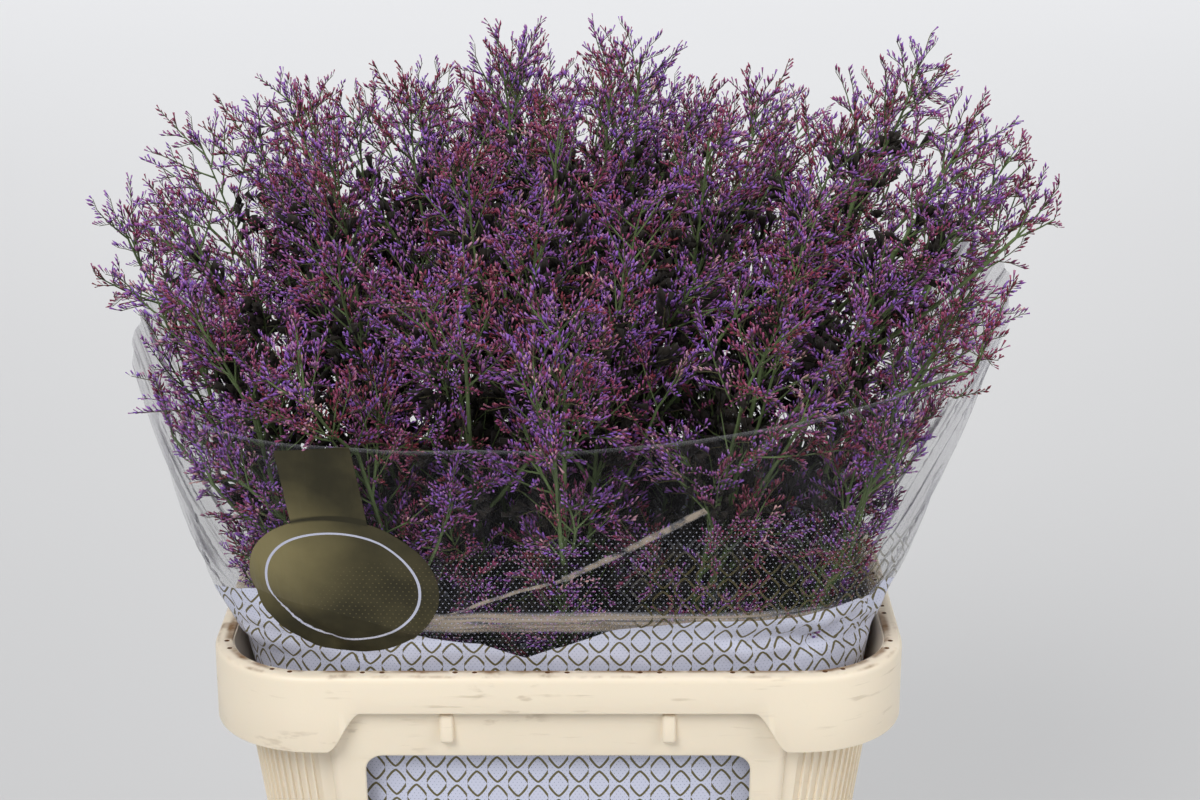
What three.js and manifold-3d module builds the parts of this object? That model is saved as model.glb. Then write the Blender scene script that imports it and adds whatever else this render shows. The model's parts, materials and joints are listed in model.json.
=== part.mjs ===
// Dried statice: a sleeved bunch of cut flowering stems that stands in a plastic flower bucket.
// Millimetres, +Z up. The origin is the middle of the bucket's underside, and -Y is the front.
import * as THREE from "three";
import { mergeVertices } from "three/addons/utils/BufferGeometryUtils.js";
import Module from "manifold-3d";

const wasm = await Module();
wasm.setup();

// Bucket: a nesting flower bucket with a deep rim band, fluted corners and a window in each long wall.
const BUCKET_HEIGHT = 400;
const RIM = { halfX: 200, halfY: 150, corner: 62 };
const RIM_LIP = 9;
const RIM_BAND = 47;
const RIM_BAND_MIDDLE = 23;
const SKIRT_WALL = 3;
const WALL = 3;
const FLOOR = 4;
const NECK = { halfX: 183, halfY: 134, corner: 50 };
const FOOT = { halfX: 141, halfY: 80, corner: 34 };
const FLUTES_PER_CORNER = 8;
const FLUTE_DEPTH = 1.6;
const FLUTE_BOTTOM = 26;
const CORNER_STEPS = 6;
const PLATE = { halfWidth: 131, footHalfWidth: 110, faceY: 144, footFaceY: 85 };
const NOTCH = { halfWidth: 131, shoulder: 120, topHalfWidth: 111, shoulderDrop: 8 };
const WINDOW = { halfWidth: 110, top: 54, height: 120, corner: 10 };
const NIB = { x: 63, width: 8, height: 18, proud: 4, below: 25 };

// Sleeve: one flared sheet of printed film from the bucket's floor to above its rim.
const FILM = 0.8;
const FILM_GAP = 0.5;
const FILM_GAP_AT_PLATE = 8;
const FILM_SIDES = 40;
const FILM_LEVELS = [0, 0.08, 0.32, 0.66, 1];
const FILM_SQUARENESS = { rim: 4.5, top: 3.2 };
const FLARE_RISE = 200;
const FLARE = {
  left: { rim: 188, top: 252, power: 0.7 },
  right: { rim: 188, top: 262, power: 1.0 },
  front: { rim: 136, top: 214, power: 1.0 },
  back: { rim: 136, top: 206, power: 1.0 },
};
const EDGE_RISE = { left: 180, right: 203, front: 149, back: 175 };
const EDGE_TURN = { left: 6, right: 2 };
const PLEAT = { count: 14, depth: 2.2 };

// Stems: each stands on the bucket's floor and fans out upwards, in a cell of its own among its neighbours.
const STEMS = 42;
const SEAT_GAP = 0.3;
const BUNDLE_FILL = 0.96;
const BUNDLE_GAP = 3;
const CELL_ASPECT = 0.75;
const CELL_GAP = 0.004;
const GOLDEN_ANGLE = Math.PI * (3 - Math.sqrt(5));
const STEM_RADIUS = { foot: 2.4, top: 1.8 };
const STEM_BENDS_ABOVE_RIM = [0, 0.33, 0.66, 1];
const CROWN_LINE = [
  [-290, 160], [-257, 212], [-190, 278], [-107, 298], [-53, 312], [10, 313],
  [79, 298], [95, 272], [125, 288], [196, 318], [240, 288], [300, 215],
];
const CROWN_DROP = { front: 96, back: 40, reach: 200 };

// Flowering branches: feathered fans whose pairs of spikes are cut to a raised rib.
const FAN_LENGTH = 86;
const FAN_PAIRS = 3;
const RIB = { halfWidth: 1.1, rootHalfWidth: 0.8, height: 3.2, rootHeight: 2, back: 0.7 };
const SPIKE_ANGLE = 0.72;
const SPIKE_SHARE = 0.46;
const FAN_SINK = 5;
const FAN_STEP = { inner: 25, outer: 33 };
const FANS = { inner: 3, outer: 6 };
const TURN_TRIES = [0, 0.45, -0.45, 0.9, -0.9, 1.4, -1.4];
const SMALLEST_FIT = 0.3;

const STATICE = { color: 0x6a3f86, roughness: 0.85, metalness: 0 };
const BUCKET_PLASTIC = { color: 0xefe2c6, roughness: 0.55, metalness: 0 };
const FILM_PLASTIC = { color: 0xe9e8f2, roughness: 0.25, metalness: 0, transparent: true, opacity: 0.4 };

const lerp = THREE.MathUtils.lerp;
const clamp = THREE.MathUtils.clamp;

// A repeatable draw from 0 to 1 for item number n of a named series.
function draw(n, series) {
  const wave = Math.sin(n * 12.9898 + series * 78.233) * 43758.5453;
  return wave - Math.floor(wave);
}

// The closed surface of a three.js geometry as a solid that can be joined and cut.
function solidOf(geometry) {
  const bare = geometry.index ? geometry.toNonIndexed() : geometry.clone();
  bare.deleteAttribute("normal");
  bare.deleteAttribute("uv");
  const merged = mergeVertices(bare, 1e-4);
  const vertProperties = new Float32Array(merged.attributes.position.array);
  const triVerts = new Uint32Array(merged.index.array);
  return new wasm.Manifold(new wasm.Mesh({ numProp: 3, vertProperties, triVerts }));
}

function geometryOf(solid) {
  const { vertProperties, triVerts } = solid.getMesh();
  const geometry = new THREE.BufferGeometry();
  geometry.setAttribute("position", new THREE.BufferAttribute(new Float32Array(vertProperties), 3));
  geometry.setIndex(new THREE.BufferAttribute(new Uint32Array(triVerts), 1));
  geometry.computeVertexNormals();
  return geometry;
}

// A closed solid through rings of equal point count, each capped from the middle of its end ring.
function loft(rings) {
  const sides = rings[0].length;
  const points = rings.flat();
  const middle = (ring) => ring.reduce((sum, p) => sum.add(p), new THREE.Vector3()).divideScalar(sides);
  const bottom = points.push(middle(rings[0])) - 1;
  const top = points.push(middle(rings.at(-1))) - 1;
  const last = (rings.length - 1) * sides;
  const faces = [];
  for (let i = 0; i < sides; i++) {
    const next = (i + 1) % sides;
    for (let r = 0; r < last; r += sides) {
      faces.push(r + i, r + next, r + sides + next, r + i, r + sides + next, r + sides + i);
    }
    faces.push(bottom, next, i, top, last + i, last + next);
  }
  const geometry = new THREE.BufferGeometry().setFromPoints(points);
  geometry.setIndex(faces);
  return solidOf(geometry);
}

// A rounded rectangle at height z. Flutes push every second corner point inwards.
function roundedRing(z, { halfX, halfY, corner }, steps = CORNER_STEPS, flute = 0) {
  const ring = [];
  for (let quarter = 0; quarter < 4; quarter++) {
    const signX = quarter === 0 || quarter === 3 ? 1 : -1;
    const signY = quarter < 2 ? 1 : -1;
    for (let i = 0; i <= steps; i++) {
      const angle = ((quarter + i / steps) * Math.PI) / 2;
      const radius = corner - (i % 2 ? flute : 0);
      const x = signX * (halfX - corner) + radius * Math.cos(angle);
      const y = signY * (halfY - corner) + radius * Math.sin(angle);
      ring.push(new THREE.Vector3(x, y, z));
    }
  }
  return ring;
}

const inset = (outline, by) => ({
  halfX: outline.halfX - by,
  halfY: outline.halfY - by,
  corner: outline.corner - by,
});

// The bucket's own outline at height z: foot to neck, then neck to the lip's inner edge.
const NECK_Z = BUCKET_HEIGHT - RIM_BAND;
function bodyOutline(z) {
  const [low, high, share] =
    z < NECK_Z
      ? [FOOT, NECK, z / NECK_Z]
      : [NECK, inset(RIM, RIM_LIP - WALL), (z - NECK_Z) / RIM_BAND];
  return {
    halfX: lerp(low.halfX, high.halfX, share),
    halfY: lerp(low.halfY, high.halfY, share),
    corner: lerp(low.corner, high.corner, share),
  };
}

// How far out the flat plate on each long wall stands at height z.
function plateFace(z) {
  return lerp(PLATE.footFaceY, PLATE.faceY, z / (BUCKET_HEIGHT - RIM_BAND_MIDDLE));
}

// That plate as a block from the middle of the bucket, made smaller all round to cut its hollow.
function plateBlock(side, shrink, top) {
  const ring = (z) => {
    const half = lerp(PLATE.footHalfWidth, PLATE.halfWidth, Math.min(1, z / NECK_Z)) - shrink;
    const face = side * (plateFace(z) - shrink);
    const corners = [[-half, 0], [half, 0], [half, face], [-half, face]];
    const ordered = side > 0 ? corners : corners.reverse();
    return ordered.map(([x, y]) => new THREE.Vector3(x, y, z));
  };
  return loft([shrink ? FLOOR : 0, NECK_Z, top].map(ring));
}

function prism(shape, depth, matrix) {
  const geometry = new THREE.ExtrudeGeometry(shape, { depth, bevelEnabled: false, curveSegments: 4 });
  return solidOf(geometry.applyMatrix4(matrix));
}

// Looking along +Y: the shape's x stays x, its y becomes z, and the prism runs through both long walls.
const ALONG_Y = new THREE.Matrix4().makeRotationX(Math.PI / 2).setPosition(0, RIM.halfY + 10, 0);
const THROUGH = 2 * (RIM.halfY + 10);

function windowCutter() {
  const { halfWidth: w, top, height, corner: c } = WINDOW;
  const high = BUCKET_HEIGHT - top;
  const low = high - height;
  const shape = new THREE.Shape();
  shape.moveTo(-w + c, low).lineTo(w - c, low).absarc(w - c, low + c, c, -Math.PI / 2, 0);
  shape.lineTo(w, high - c).absarc(w - c, high - c, c, 0, Math.PI / 2);
  shape.lineTo(-w + c, high).absarc(-w + c, high - c, c, Math.PI / 2, Math.PI);
  shape.lineTo(-w, low + c).absarc(-w + c, low + c, c, Math.PI, 1.5 * Math.PI);
  return prism(shape, THROUGH, ALONG_Y);
}

// The skirt stops higher over each plate, with slanted ends.
function skirtNotch() {
  const low = NECK_Z - 5;
  const high = BUCKET_HEIGHT - RIM_BAND_MIDDLE;
  const shape = new THREE.Shape([
    new THREE.Vector2(-NOTCH.halfWidth, low),
    new THREE.Vector2(NOTCH.halfWidth, low),
    new THREE.Vector2(NOTCH.shoulder, high - NOTCH.shoulderDrop),
    new THREE.Vector2(NOTCH.topHalfWidth, high),
    new THREE.Vector2(-NOTCH.topHalfWidth, high),
    new THREE.Vector2(-NOTCH.shoulder, high - NOTCH.shoulderDrop),
  ]);
  return prism(shape, THROUGH, ALONG_Y);
}

function box(x, y, z, width, depth, height) {
  return solidOf(new THREE.BoxGeometry(width, depth, height).translate(x, y, z));
}

function bucketSolid() {
  const fluteSteps = 2 * FLUTES_PER_CORNER;
  const outer = loft([
    roundedRing(0, bodyOutline(0), fluteSteps),
    roundedRing(FLUTE_BOTTOM, bodyOutline(FLUTE_BOTTOM), fluteSteps),
    roundedRing(FLUTE_BOTTOM + 3, bodyOutline(FLUTE_BOTTOM + 3), fluteSteps, FLUTE_DEPTH),
    roundedRing(NECK_Z - 9, bodyOutline(NECK_Z - 9), fluteSteps, FLUTE_DEPTH),
    roundedRing(NECK_Z - 6, bodyOutline(NECK_Z - 6), fluteSteps),
    roundedRing(NECK_Z, bodyOutline(NECK_Z), fluteSteps),
    roundedRing(BUCKET_HEIGHT, bodyOutline(BUCKET_HEIGHT), fluteSteps),
  ]);
  const inner = loft(
    [FLOOR, NECK_Z, BUCKET_HEIGHT + 1].map((z) => roundedRing(z, inset(bodyOutline(z), WALL + FLUTE_DEPTH))),
  );
  const lip = loft([BUCKET_HEIGHT - 3, BUCKET_HEIGHT].map((z) => roundedRing(z, RIM)));
  const skirtOutside = loft([NECK_Z, BUCKET_HEIGHT - 1].map((z) => roundedRing(z, RIM)));
  const skirtInside = loft(
    [NECK_Z - 1, BUCKET_HEIGHT].map((z) => roundedRing(z, inset(RIM, SKIRT_WALL))),
  );
  const skirt = skirtOutside.subtract(skirtInside).subtract(skirtNotch());
  const plateTop = BUCKET_HEIGHT - 2;
  let shell = outer.add(lip).add(skirt);
  let hollow = inner;
  for (const side of [-1, 1]) {
    shell = shell.add(plateBlock(side, 0, plateTop));
    hollow = hollow.add(plateBlock(side, WALL, plateTop - WALL));
    const nibZ = BUCKET_HEIGHT - NIB.below - NIB.height / 2;
    const nibY = side * plateFace(nibZ);
    for (const x of [-NIB.x, NIB.x]) {
      shell = shell.add(box(x, nibY, nibZ, NIB.width, 2 * NIB.proud, NIB.height));
    }
  }
  return shell.subtract(hollow).subtract(windowCutter());
}

// Half the sleeve's width on one of its four sides at height z.
function filmHalf(side, z) {
  const { rim, top, power } = FLARE[side];
  const sideways = side === "left" || side === "right";
  if (z > BUCKET_HEIGHT) return rim + (top - rim) * ((z - BUCKET_HEIGHT) / FLARE_RISE) ** power;
  const inBucket = (height) =>
    sideways
      ? bodyOutline(height).halfX - WALL - FLUTE_DEPTH - FILM_GAP
      : plateFace(height) - WALL - FILM_GAP_AT_PLATE;
  if (z < NECK_Z) return inBucket(z);
  return lerp(inBucket(NECK_Z), rim, (z - NECK_Z) / RIM_BAND);
}

// The sleeve's outer radius at an angle and height: a superellipse with its own half width on each side.
function filmRadius(angle, z) {
  const [c, s] = [Math.cos(angle), Math.sin(angle)];
  const alongX = Math.abs(c) / filmHalf(c < 0 ? "left" : "right", z);
  const alongY = Math.abs(s) / filmHalf(s < 0 ? "front" : "back", z);
  const flared = clamp((z - BUCKET_HEIGHT) / FLARE_RISE, 0, 1);
  const power = lerp(FILM_SQUARENESS.rim, FILM_SQUARENESS.top, flared);
  return (alongX ** power + alongY ** power) ** (-1 / power);
}

// The height of the sleeve's top edge above the rim: level along the front, higher at both wings.
function edgeRise(angle) {
  const [c, s] = [Math.cos(angle), Math.sin(angle)];
  const wing = c < 0 ? "left" : "right";
  const middle = lerp(EDGE_RISE.front, EDGE_RISE.back, 0.5 + 0.5 * Math.sign(s) * Math.min(1, 2 * Math.abs(s)));
  return lerp(middle, EDGE_RISE[wing], Math.abs(c) ** EDGE_TURN[wing]);
}

// One face of the sleeve, closed at both ends. The inner face runs past them, so that cutting it opens them.
function sleeveFace(inwards) {
  const overrun = inwards ? 1 : 0;
  const ring = (height, share) =>
    Array.from({ length: FILM_SIDES }, (_, i) => {
      const angle = (2 * Math.PI * i) / FILM_SIDES;
      const z = height(angle);
      const pleat = PLEAT.depth * share * (0.5 + 0.5 * Math.sin(PLEAT.count * angle + 2 * Math.sin(3 * angle)));
      const radius = filmRadius(angle, z) - pleat - inwards;
      return new THREE.Vector3(radius * Math.cos(angle), radius * Math.sin(angle), z);
    });
  const straight = [FLOOR + SEAT_GAP - overrun, NECK_Z].map((z) => ring(() => z, 0));
  const flared = FILM_LEVELS.map((t) => {
    const past = t === 1 ? overrun : 0;
    return ring((angle) => BUCKET_HEIGHT + t * edgeRise(angle) + past, t);
  });
  return loft([...straight, ...flared]);
}

function sleeveSolid() {
  return sleeveFace(0).subtract(sleeveFace(FILM));
}

// Where stem number n stands among its neighbours: a sunflower spread over the unit disc.
function stemSeat(n) {
  const radius = BUNDLE_FILL * Math.sqrt((n + 0.5) / STEMS) * (1 - 0.06 * draw(n, 1));
  const angle = n * GOLDEN_ANGLE + 0.12 * (draw(n, 2) - 0.5);
  return { radius, angle };
}

// The bunch fills the sleeve: a place in the unit disc keeps its share of the sleeve's radius at every height.
function bundlePoint(radius, angle, z) {
  const reach = radius * (filmRadius(angle, z) - FILM - BUNDLE_GAP);
  return new THREE.Vector3(reach * Math.cos(angle), reach * Math.sin(angle), z);
}

// The height of the bunch's top over a point: its outline along x, lower towards the front and the back.
function crownHeight(x, y) {
  const next = clamp(CROWN_LINE.findIndex(([at]) => at > x), 1, CROWN_LINE.length - 1);
  const [[x0, rise0], [x1, rise1]] = [CROWN_LINE[next - 1], CROWN_LINE[next]];
  const rise = lerp(rise0, rise1, clamp((x - x0) / (x1 - x0), 0, 1));
  const drop = (y < 0 ? CROWN_DROP.front : CROWN_DROP.back) * (y / CROWN_DROP.reach) ** 2;
  return BUCKET_HEIGHT + rise - drop;
}

// The height at which stem n ends, found where its line meets the crown.
function stemTop(n) {
  const { radius, angle } = stemSeat(n);
  let z = BUCKET_HEIGHT + CROWN_LINE[0][1];
  for (let i = 0; i < 8; i++) {
    const p = bundlePoint(radius, angle, z);
    z = crownHeight(p.x, p.y);
  }
  return z - FAN_LENGTH + 24 * draw(n, 3);
}

// A stem's bends, from its foot to its top, with straight lengths between them.
function stemBends(seat, top) {
  const aboveRim = STEM_BENDS_ABOVE_RIM.map((share) => lerp(BUCKET_HEIGHT, top, share));
  return [FLOOR + SEAT_GAP, NECK_Z, ...aboveRim].map((z) => bundlePoint(seat.radius, seat.angle, z));
}

const stems = Array.from({ length: STEMS }, (_, n) => {
  const seat = stemSeat(n);
  const top = stemTop(n);
  return { n, ...seat, top, bends: stemBends(seat, top) };
});

// The point of a stem at height z, also past its top on its last straight length.
function stemPoint({ bends }, z) {
  const next = bends.findIndex((bend, i) => i > 0 && (bend.z > z || i === bends.length - 1));
  const [low, high] = [bends[next - 1], bends[next]];
  return low.clone().lerp(high, (z - low.z) / (high.z - low.z));
}

const cellX = (radius, angle) => radius * Math.cos(angle);
const cellY = (radius, angle) => radius * Math.sin(angle) * CELL_ASPECT;

// True where a point lies nearer to its own stem than to any other, and inside the film below the film's edge.
function inOwnCell(stem, point) {
  const angle = Math.atan2(point.y, point.x);
  const room = filmRadius(angle, point.z) - FILM - BUNDLE_GAP;
  const radius = Math.hypot(point.x, point.y) / room;
  if (point.z < BUCKET_HEIGHT + edgeRise(angle) + 8 && radius > 1 - PLEAT.depth / room) return false;
  const [x, y] = [cellX(radius, angle), cellY(radius, angle)];
  const distance = (other) => {
    return Math.hypot(x - cellX(other.radius, other.angle), y - cellY(other.radius, other.angle));
  };
  const own = distance(stem);
  return stems.every((other) => other === stem || distance(other) > own + 2 * CELL_GAP);
}

function stemSolid(stem) {
  const rings = stem.bends.map((centre) => {
    const radius = lerp(STEM_RADIUS.foot, STEM_RADIUS.top, centre.z / stem.top);
    return [0, 1, 2].map((corner) => {
      const turn = (corner * 2 * Math.PI) / 3 + stem.angle;
      return new THREE.Vector3(radius * Math.cos(turn), radius * Math.sin(turn), 0).add(centre);
    });
  });
  return loft(rings);
}

// The fan's outline, rib along +Y: a comb of pointed spikes on each side and one at the end.
function fanOutline(length) {
  const start = 0.2 * length;
  const pitch = (0.6 * length) / FAN_PAIRS;
  const side = [[RIB.rootHalfWidth, 0]];
  for (let i = 0; i < FAN_PAIRS; i++) {
    const y = start + i * pitch;
    const spike = SPIKE_SHARE * length * (1 - 0.16 * i);
    side.push([RIB.halfWidth, y]);
    side.push([RIB.halfWidth + spike * Math.sin(SPIKE_ANGLE), y + spike * Math.cos(SPIKE_ANGLE)]);
  }
  side.push([RIB.halfWidth, start + FAN_PAIRS * pitch]);
  const left = side.map(([x, y]) => [-x, y]).reverse();
  return [...side, [0, length], ...left].map(([x, y]) => new THREE.Vector2(x, y));
}

// The fan as a solid: flat behind, and in front each spike rises to its own point of the rib.
function fanBlade(length, frame) {
  const outline = fanOutline(length);
  const edges = outline.length;
  const ridgeOf = (edge) => {
    const fromRoot = edge === edges - 1 ? 0 : Math.min(edge, edges - 2 - edge);
    return edges + Math.min(Math.floor((fromRoot + 1) / 2), FAN_PAIRS);
  };
  const points = outline.map(({ x, y }) => new THREE.Vector3(x, y, -RIB.back));
  points.push(new THREE.Vector3(0, 0, RIB.rootHeight - RIB.back));
  for (let i = 0; i < FAN_PAIRS; i++) {
    const y = length * (0.2 + (0.6 * (i + 0.4)) / FAN_PAIRS);
    points.push(new THREE.Vector3(0, y, RIB.height * (1 - 0.15 * i) - RIB.back));
  }
  const faces = THREE.ShapeUtils.triangulateShape(outline, []).map(([a, b, c]) => [a, c, b]);
  for (let edge = 0; edge < edges; edge++) {
    const next = (edge + 1) % edges;
    const here = ridgeOf(edge);
    const ahead = ridgeOf(next);
    faces.push([edge, next, here]);
    if (ahead !== here) faces.push([next, ahead, here]);
  }
  const geometry = new THREE.BufferGeometry().setFromPoints(points).applyMatrix4(frame);
  geometry.setIndex(faces.flat());
  return solidOf(geometry);
}

// The frame of a fan: its root on the stem, its rib's direction, and the flat of its spikes.
function fanFrame(stem, z, turn, tilt) {
  const root = stemPoint(stem, z);
  const rise = stemPoint(stem, z + 1).sub(stemPoint(stem, z - 1)).normalize();
  const outwards = new THREE.Vector3(Math.cos(turn), Math.sin(turn), 0);
  outwards.addScaledVector(rise, -outwards.dot(rise)).normalize();
  const flat = new THREE.Vector3().crossVectors(rise, outwards);
  const rib = rise.multiplyScalar(Math.cos(tilt)).addScaledVector(outwards, Math.sin(tilt));
  const face = new THREE.Vector3().crossVectors(flat, rib);
  return new THREE.Matrix4().makeBasis(flat, rib, face).setPosition(root);
}

// A fan is turned, then made smaller and more upright, until all of its outline is in its stem's cell.
function fanSolid(stem, { z, turn, tilt }) {
  for (let fit = 1; fit > SMALLEST_FIT; fit -= 0.07) {
    const length = FAN_LENGTH * Math.sqrt(fit);
    for (const more of TURN_TRIES) {
      const frame = fanFrame(stem, z, turn + more, tilt * fit);
      const reaches = fanOutline(length).map(({ x, y }) => new THREE.Vector3(x, y, 0).applyMatrix4(frame));
      if (reaches.slice(1, -1).every((p) => inOwnCell(stem, p))) return fanBlade(length, frame);
    }
  }
  return null;
}

// One fan ends the stem and the others stand below it. Outer stems carry more of them and lower, where they show.
function fanPlaces(stem) {
  const shown = clamp((stem.radius - 0.4) / 0.35, 0, 1);
  const count = Math.round(lerp(FANS.inner, FANS.outer, shown));
  const step = lerp(FAN_STEP.inner, FAN_STEP.outer, shown);
  const places = [{ z: stem.top - FAN_SINK, turn: stem.angle + draw(stem.n, 4) - 0.5, tilt: 0.25 * shown }];
  const start = stem.angle + 6 * draw(stem.n, 5);
  for (let i = 1; i <= count; i++) {
    const outwards = stem.angle + (i % 2 ? 1 : -1) * (0.5 + draw(stem.n, 10 + i));
    places.push({ z: stem.top - i * step, turn: lerp(start + i * GOLDEN_ANGLE, outwards, shown), tilt: 0.66 });
  }
  return places;
}

function spraySolid(stem) {
  const fans = fanPlaces(stem).map((place) => fanSolid(stem, place));
  return fans.filter(Boolean).reduce((whole, fan) => whole.add(fan), stemSolid(stem));
}

function mesh(name, solid, finish) {
  const plain = solid.asOriginal().simplify(0.01);
  const made = new THREE.Mesh(geometryOf(plain), new THREE.MeshStandardMaterial(finish));
  made.name = name;
  return made;
}

const statice = new THREE.Group();
statice.name = "sleeved_statice";
statice.add(mesh("bucket", bucketSolid(), BUCKET_PLASTIC));
statice.add(mesh("film_sleeve", sleeveSolid(), FILM_PLASTIC));
for (const stem of stems) {
  const name = `spray_${String(stem.n + 1).padStart(2, "0")}`;
  statice.add(mesh(name, spraySolid(stem), STATICE));
}

export default statice;
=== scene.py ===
"""A sleeved bunch of dried statice that stands in a plastic flower bucket.

Metres, +Z up. The origin is the middle of the bucket's underside, and -Y is the front.
"""

import json
import math

import bmesh
import bpy
import numpy as np
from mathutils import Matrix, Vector

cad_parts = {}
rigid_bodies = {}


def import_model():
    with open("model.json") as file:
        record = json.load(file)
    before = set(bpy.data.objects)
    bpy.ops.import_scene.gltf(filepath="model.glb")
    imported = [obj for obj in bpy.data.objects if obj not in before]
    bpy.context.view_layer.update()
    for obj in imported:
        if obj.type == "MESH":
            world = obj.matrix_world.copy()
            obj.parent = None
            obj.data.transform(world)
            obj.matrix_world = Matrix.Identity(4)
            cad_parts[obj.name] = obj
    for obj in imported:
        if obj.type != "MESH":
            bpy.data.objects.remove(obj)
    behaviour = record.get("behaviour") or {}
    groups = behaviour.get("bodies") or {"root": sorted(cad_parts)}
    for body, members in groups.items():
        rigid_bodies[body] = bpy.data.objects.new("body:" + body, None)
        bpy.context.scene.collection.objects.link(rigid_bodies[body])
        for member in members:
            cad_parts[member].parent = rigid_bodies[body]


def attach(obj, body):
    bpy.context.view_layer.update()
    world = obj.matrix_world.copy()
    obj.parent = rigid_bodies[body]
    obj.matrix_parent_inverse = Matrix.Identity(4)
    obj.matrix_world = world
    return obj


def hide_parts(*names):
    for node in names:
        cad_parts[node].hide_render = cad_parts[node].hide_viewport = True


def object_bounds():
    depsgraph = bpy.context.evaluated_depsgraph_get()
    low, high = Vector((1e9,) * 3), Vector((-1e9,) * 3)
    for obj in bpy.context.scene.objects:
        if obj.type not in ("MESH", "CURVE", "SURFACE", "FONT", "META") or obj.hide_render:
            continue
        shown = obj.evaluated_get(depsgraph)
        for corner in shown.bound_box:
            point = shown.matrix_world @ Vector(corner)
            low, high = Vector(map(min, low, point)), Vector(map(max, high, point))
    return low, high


bl_info = {
    "name": "Sleeved dried statice",
    "version": (1, 0, 0),
    "blender": (4, 5, 0),
    "location": "3D View > Sidebar > Statice",
    "description": "Builds a sleeved bunch of dried statice in its flower bucket",
    "category": "Object",
}

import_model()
CAD_BOX = [list(corner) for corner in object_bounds()]

# Bucket, as in the part's source. An outline is half its width, half its depth and its corner's radius.
BUCKET_HEIGHT = 0.400
RIM = np.array((0.200, 0.150, 0.062))
LIP = 0.009
RIM_BAND = 0.047
RIM_BAND_MIDDLE = 0.023
SKIRT_WALL = 0.003
WALL = 0.003
FLOOR = 0.004
NECK = np.array((0.183, 0.134, 0.050))
FOOT = np.array((0.141, 0.080, 0.034))
NECK_Z = BUCKET_HEIGHT - RIM_BAND
MOUTH = RIM - (LIP - WALL)
FLUTE_DEPTH = 0.0016
FLUTE_FOOT = 0.026
FLUTE_HEAD = NECK_Z - 0.006
FLUTE_FRAME = 0.005
FLUTE_PROFILE = ((0, 0), (0.10, 0), (0.17, 1), (0.5, 1), (0.83, 1), (0.90, 0))
PLATE_EDGE = 0.005
PLATE_HALF = (0.110, 0.131)
PLATE_FACE = (0.085, 0.144)
NOTCH_EDGES = (0.111, 0.131)
WINDOW = {"half": 0.110, "top": 0.346, "bottom": 0.226, "corner": 0.010}
NIB_X = 0.063
NIB_SIZE = (0.008, 0.008, 0.018)
NIB_Z = 0.366
LIP_INNER_EDGE = 0.0104
LIP_SECTION = (
    (LIP_INNER_EDGE, 0.003),
    (LIP_INNER_EDGE, 0.0012),
    (LIP_INNER_EDGE - 0.0004, 0.0004),
    (LIP_INNER_EDGE - 0.0013, 0),
    (0.0060, 0),
    (0.0035, 0.0001),
    (0.0020, 0.0005),
    (0.0008, 0.0014),
    (0.0002, 0.0028),
    (0, 0.0045),
)
HOLE_PATH = 0.0070
HOLE_DEPTH = 0.004
SHARP_ANGLE = math.radians(38)

# Sleeve, as in the part's source.
FILM = 0.0008
FILM_GAP = 0.0005
FILM_GAP_AT_PLATE = 0.008
FILM_SQUARENESS = (4.5, 3.2)
FLARE_RISE = 0.200
FLARE = {
    "left": (0.188, 0.252, 0.7),
    "right": (0.188, 0.262, 1.0),
    "front": (0.136, 0.214, 1.0),
    "back": (0.136, 0.206, 1.0),
}
EDGE_RISE = {"left": 0.180, "right": 0.203, "front": 0.149, "back": 0.175}
EDGE_TURN = {"left": 6, "right": 2}
PLEATS = 14
PLEAT_DEPTH = 0.0022

# Stems and their flowering branches, as in the part's source.
STEMS = 42
SEAT_Z = FLOOR + 0.0003
BUNDLE_FILL = 0.96
BUNDLE_GAP = 0.003
CELL_ASPECT = 0.75
CELL_GAP = 0.004
GOLDEN_ANGLE = math.pi * (3 - math.sqrt(5))
STEM_BENDS_ABOVE_RIM = (0, 0.33, 0.66, 1)
CROWN_X = (-0.290, -0.257, -0.190, -0.107, -0.053, 0.010, 0.079, 0.095, 0.125, 0.196, 0.240, 0.300)
CROWN_RISE = (0.160, 0.212, 0.278, 0.298, 0.312, 0.313, 0.298, 0.272, 0.288, 0.318, 0.288, 0.215)
CROWN_DROP = {"front": 0.096, "back": 0.040, "reach": 0.200}
FAN_LENGTH = 0.086
FAN_PAIRS = 3
RIB_HALF_WIDTH = 0.0011
SPIKE_ANGLE = 0.72
SPIKE_SHARE = 0.46
FAN_SINK = 0.005
FAN_STEP = (0.025, 0.033)
FANS = (3, 6)
TURN_TRIES = (0, 0.45, -0.45, 0.9, -0.9, 1.4, -1.4)
SMALLEST_FIT = 0.3

# Finer growth than in the part's source: spikes on each fan, combs on each spike, florets on each comb.
UP = np.array((0.0, 0.0, 1.0))
SPIKES = 8
SPIKE_REACH = 0.58
COMB_STEP = 0.0074
ROW_SPREAD = 0.55
FLORET_JITTER = (0.12, 0.12, 0.12)
FORKS = 2
FLORET_SHAPES = {
    "floret_bud": {"mouth": 0.55, "width": 0.50, "tip": 1.0},
    "floret_faded": {"mouth": 0.92, "width": 0.30, "tip": None},
    "floret_funnel": {"mouth": 1.0, "width": 0.42, "tip": None},
}

# Room that the twigs keep to the film, and that their tips may stand out of the part's size.
FILM_ROOM = 0.0105
TIP_ROOM = 0.010

# Painted shade: florets are painted near-black this far under the crown, and within this share of the way out
# to the film.
DEEP = 0.055
INSIDE = 0.82

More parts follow.
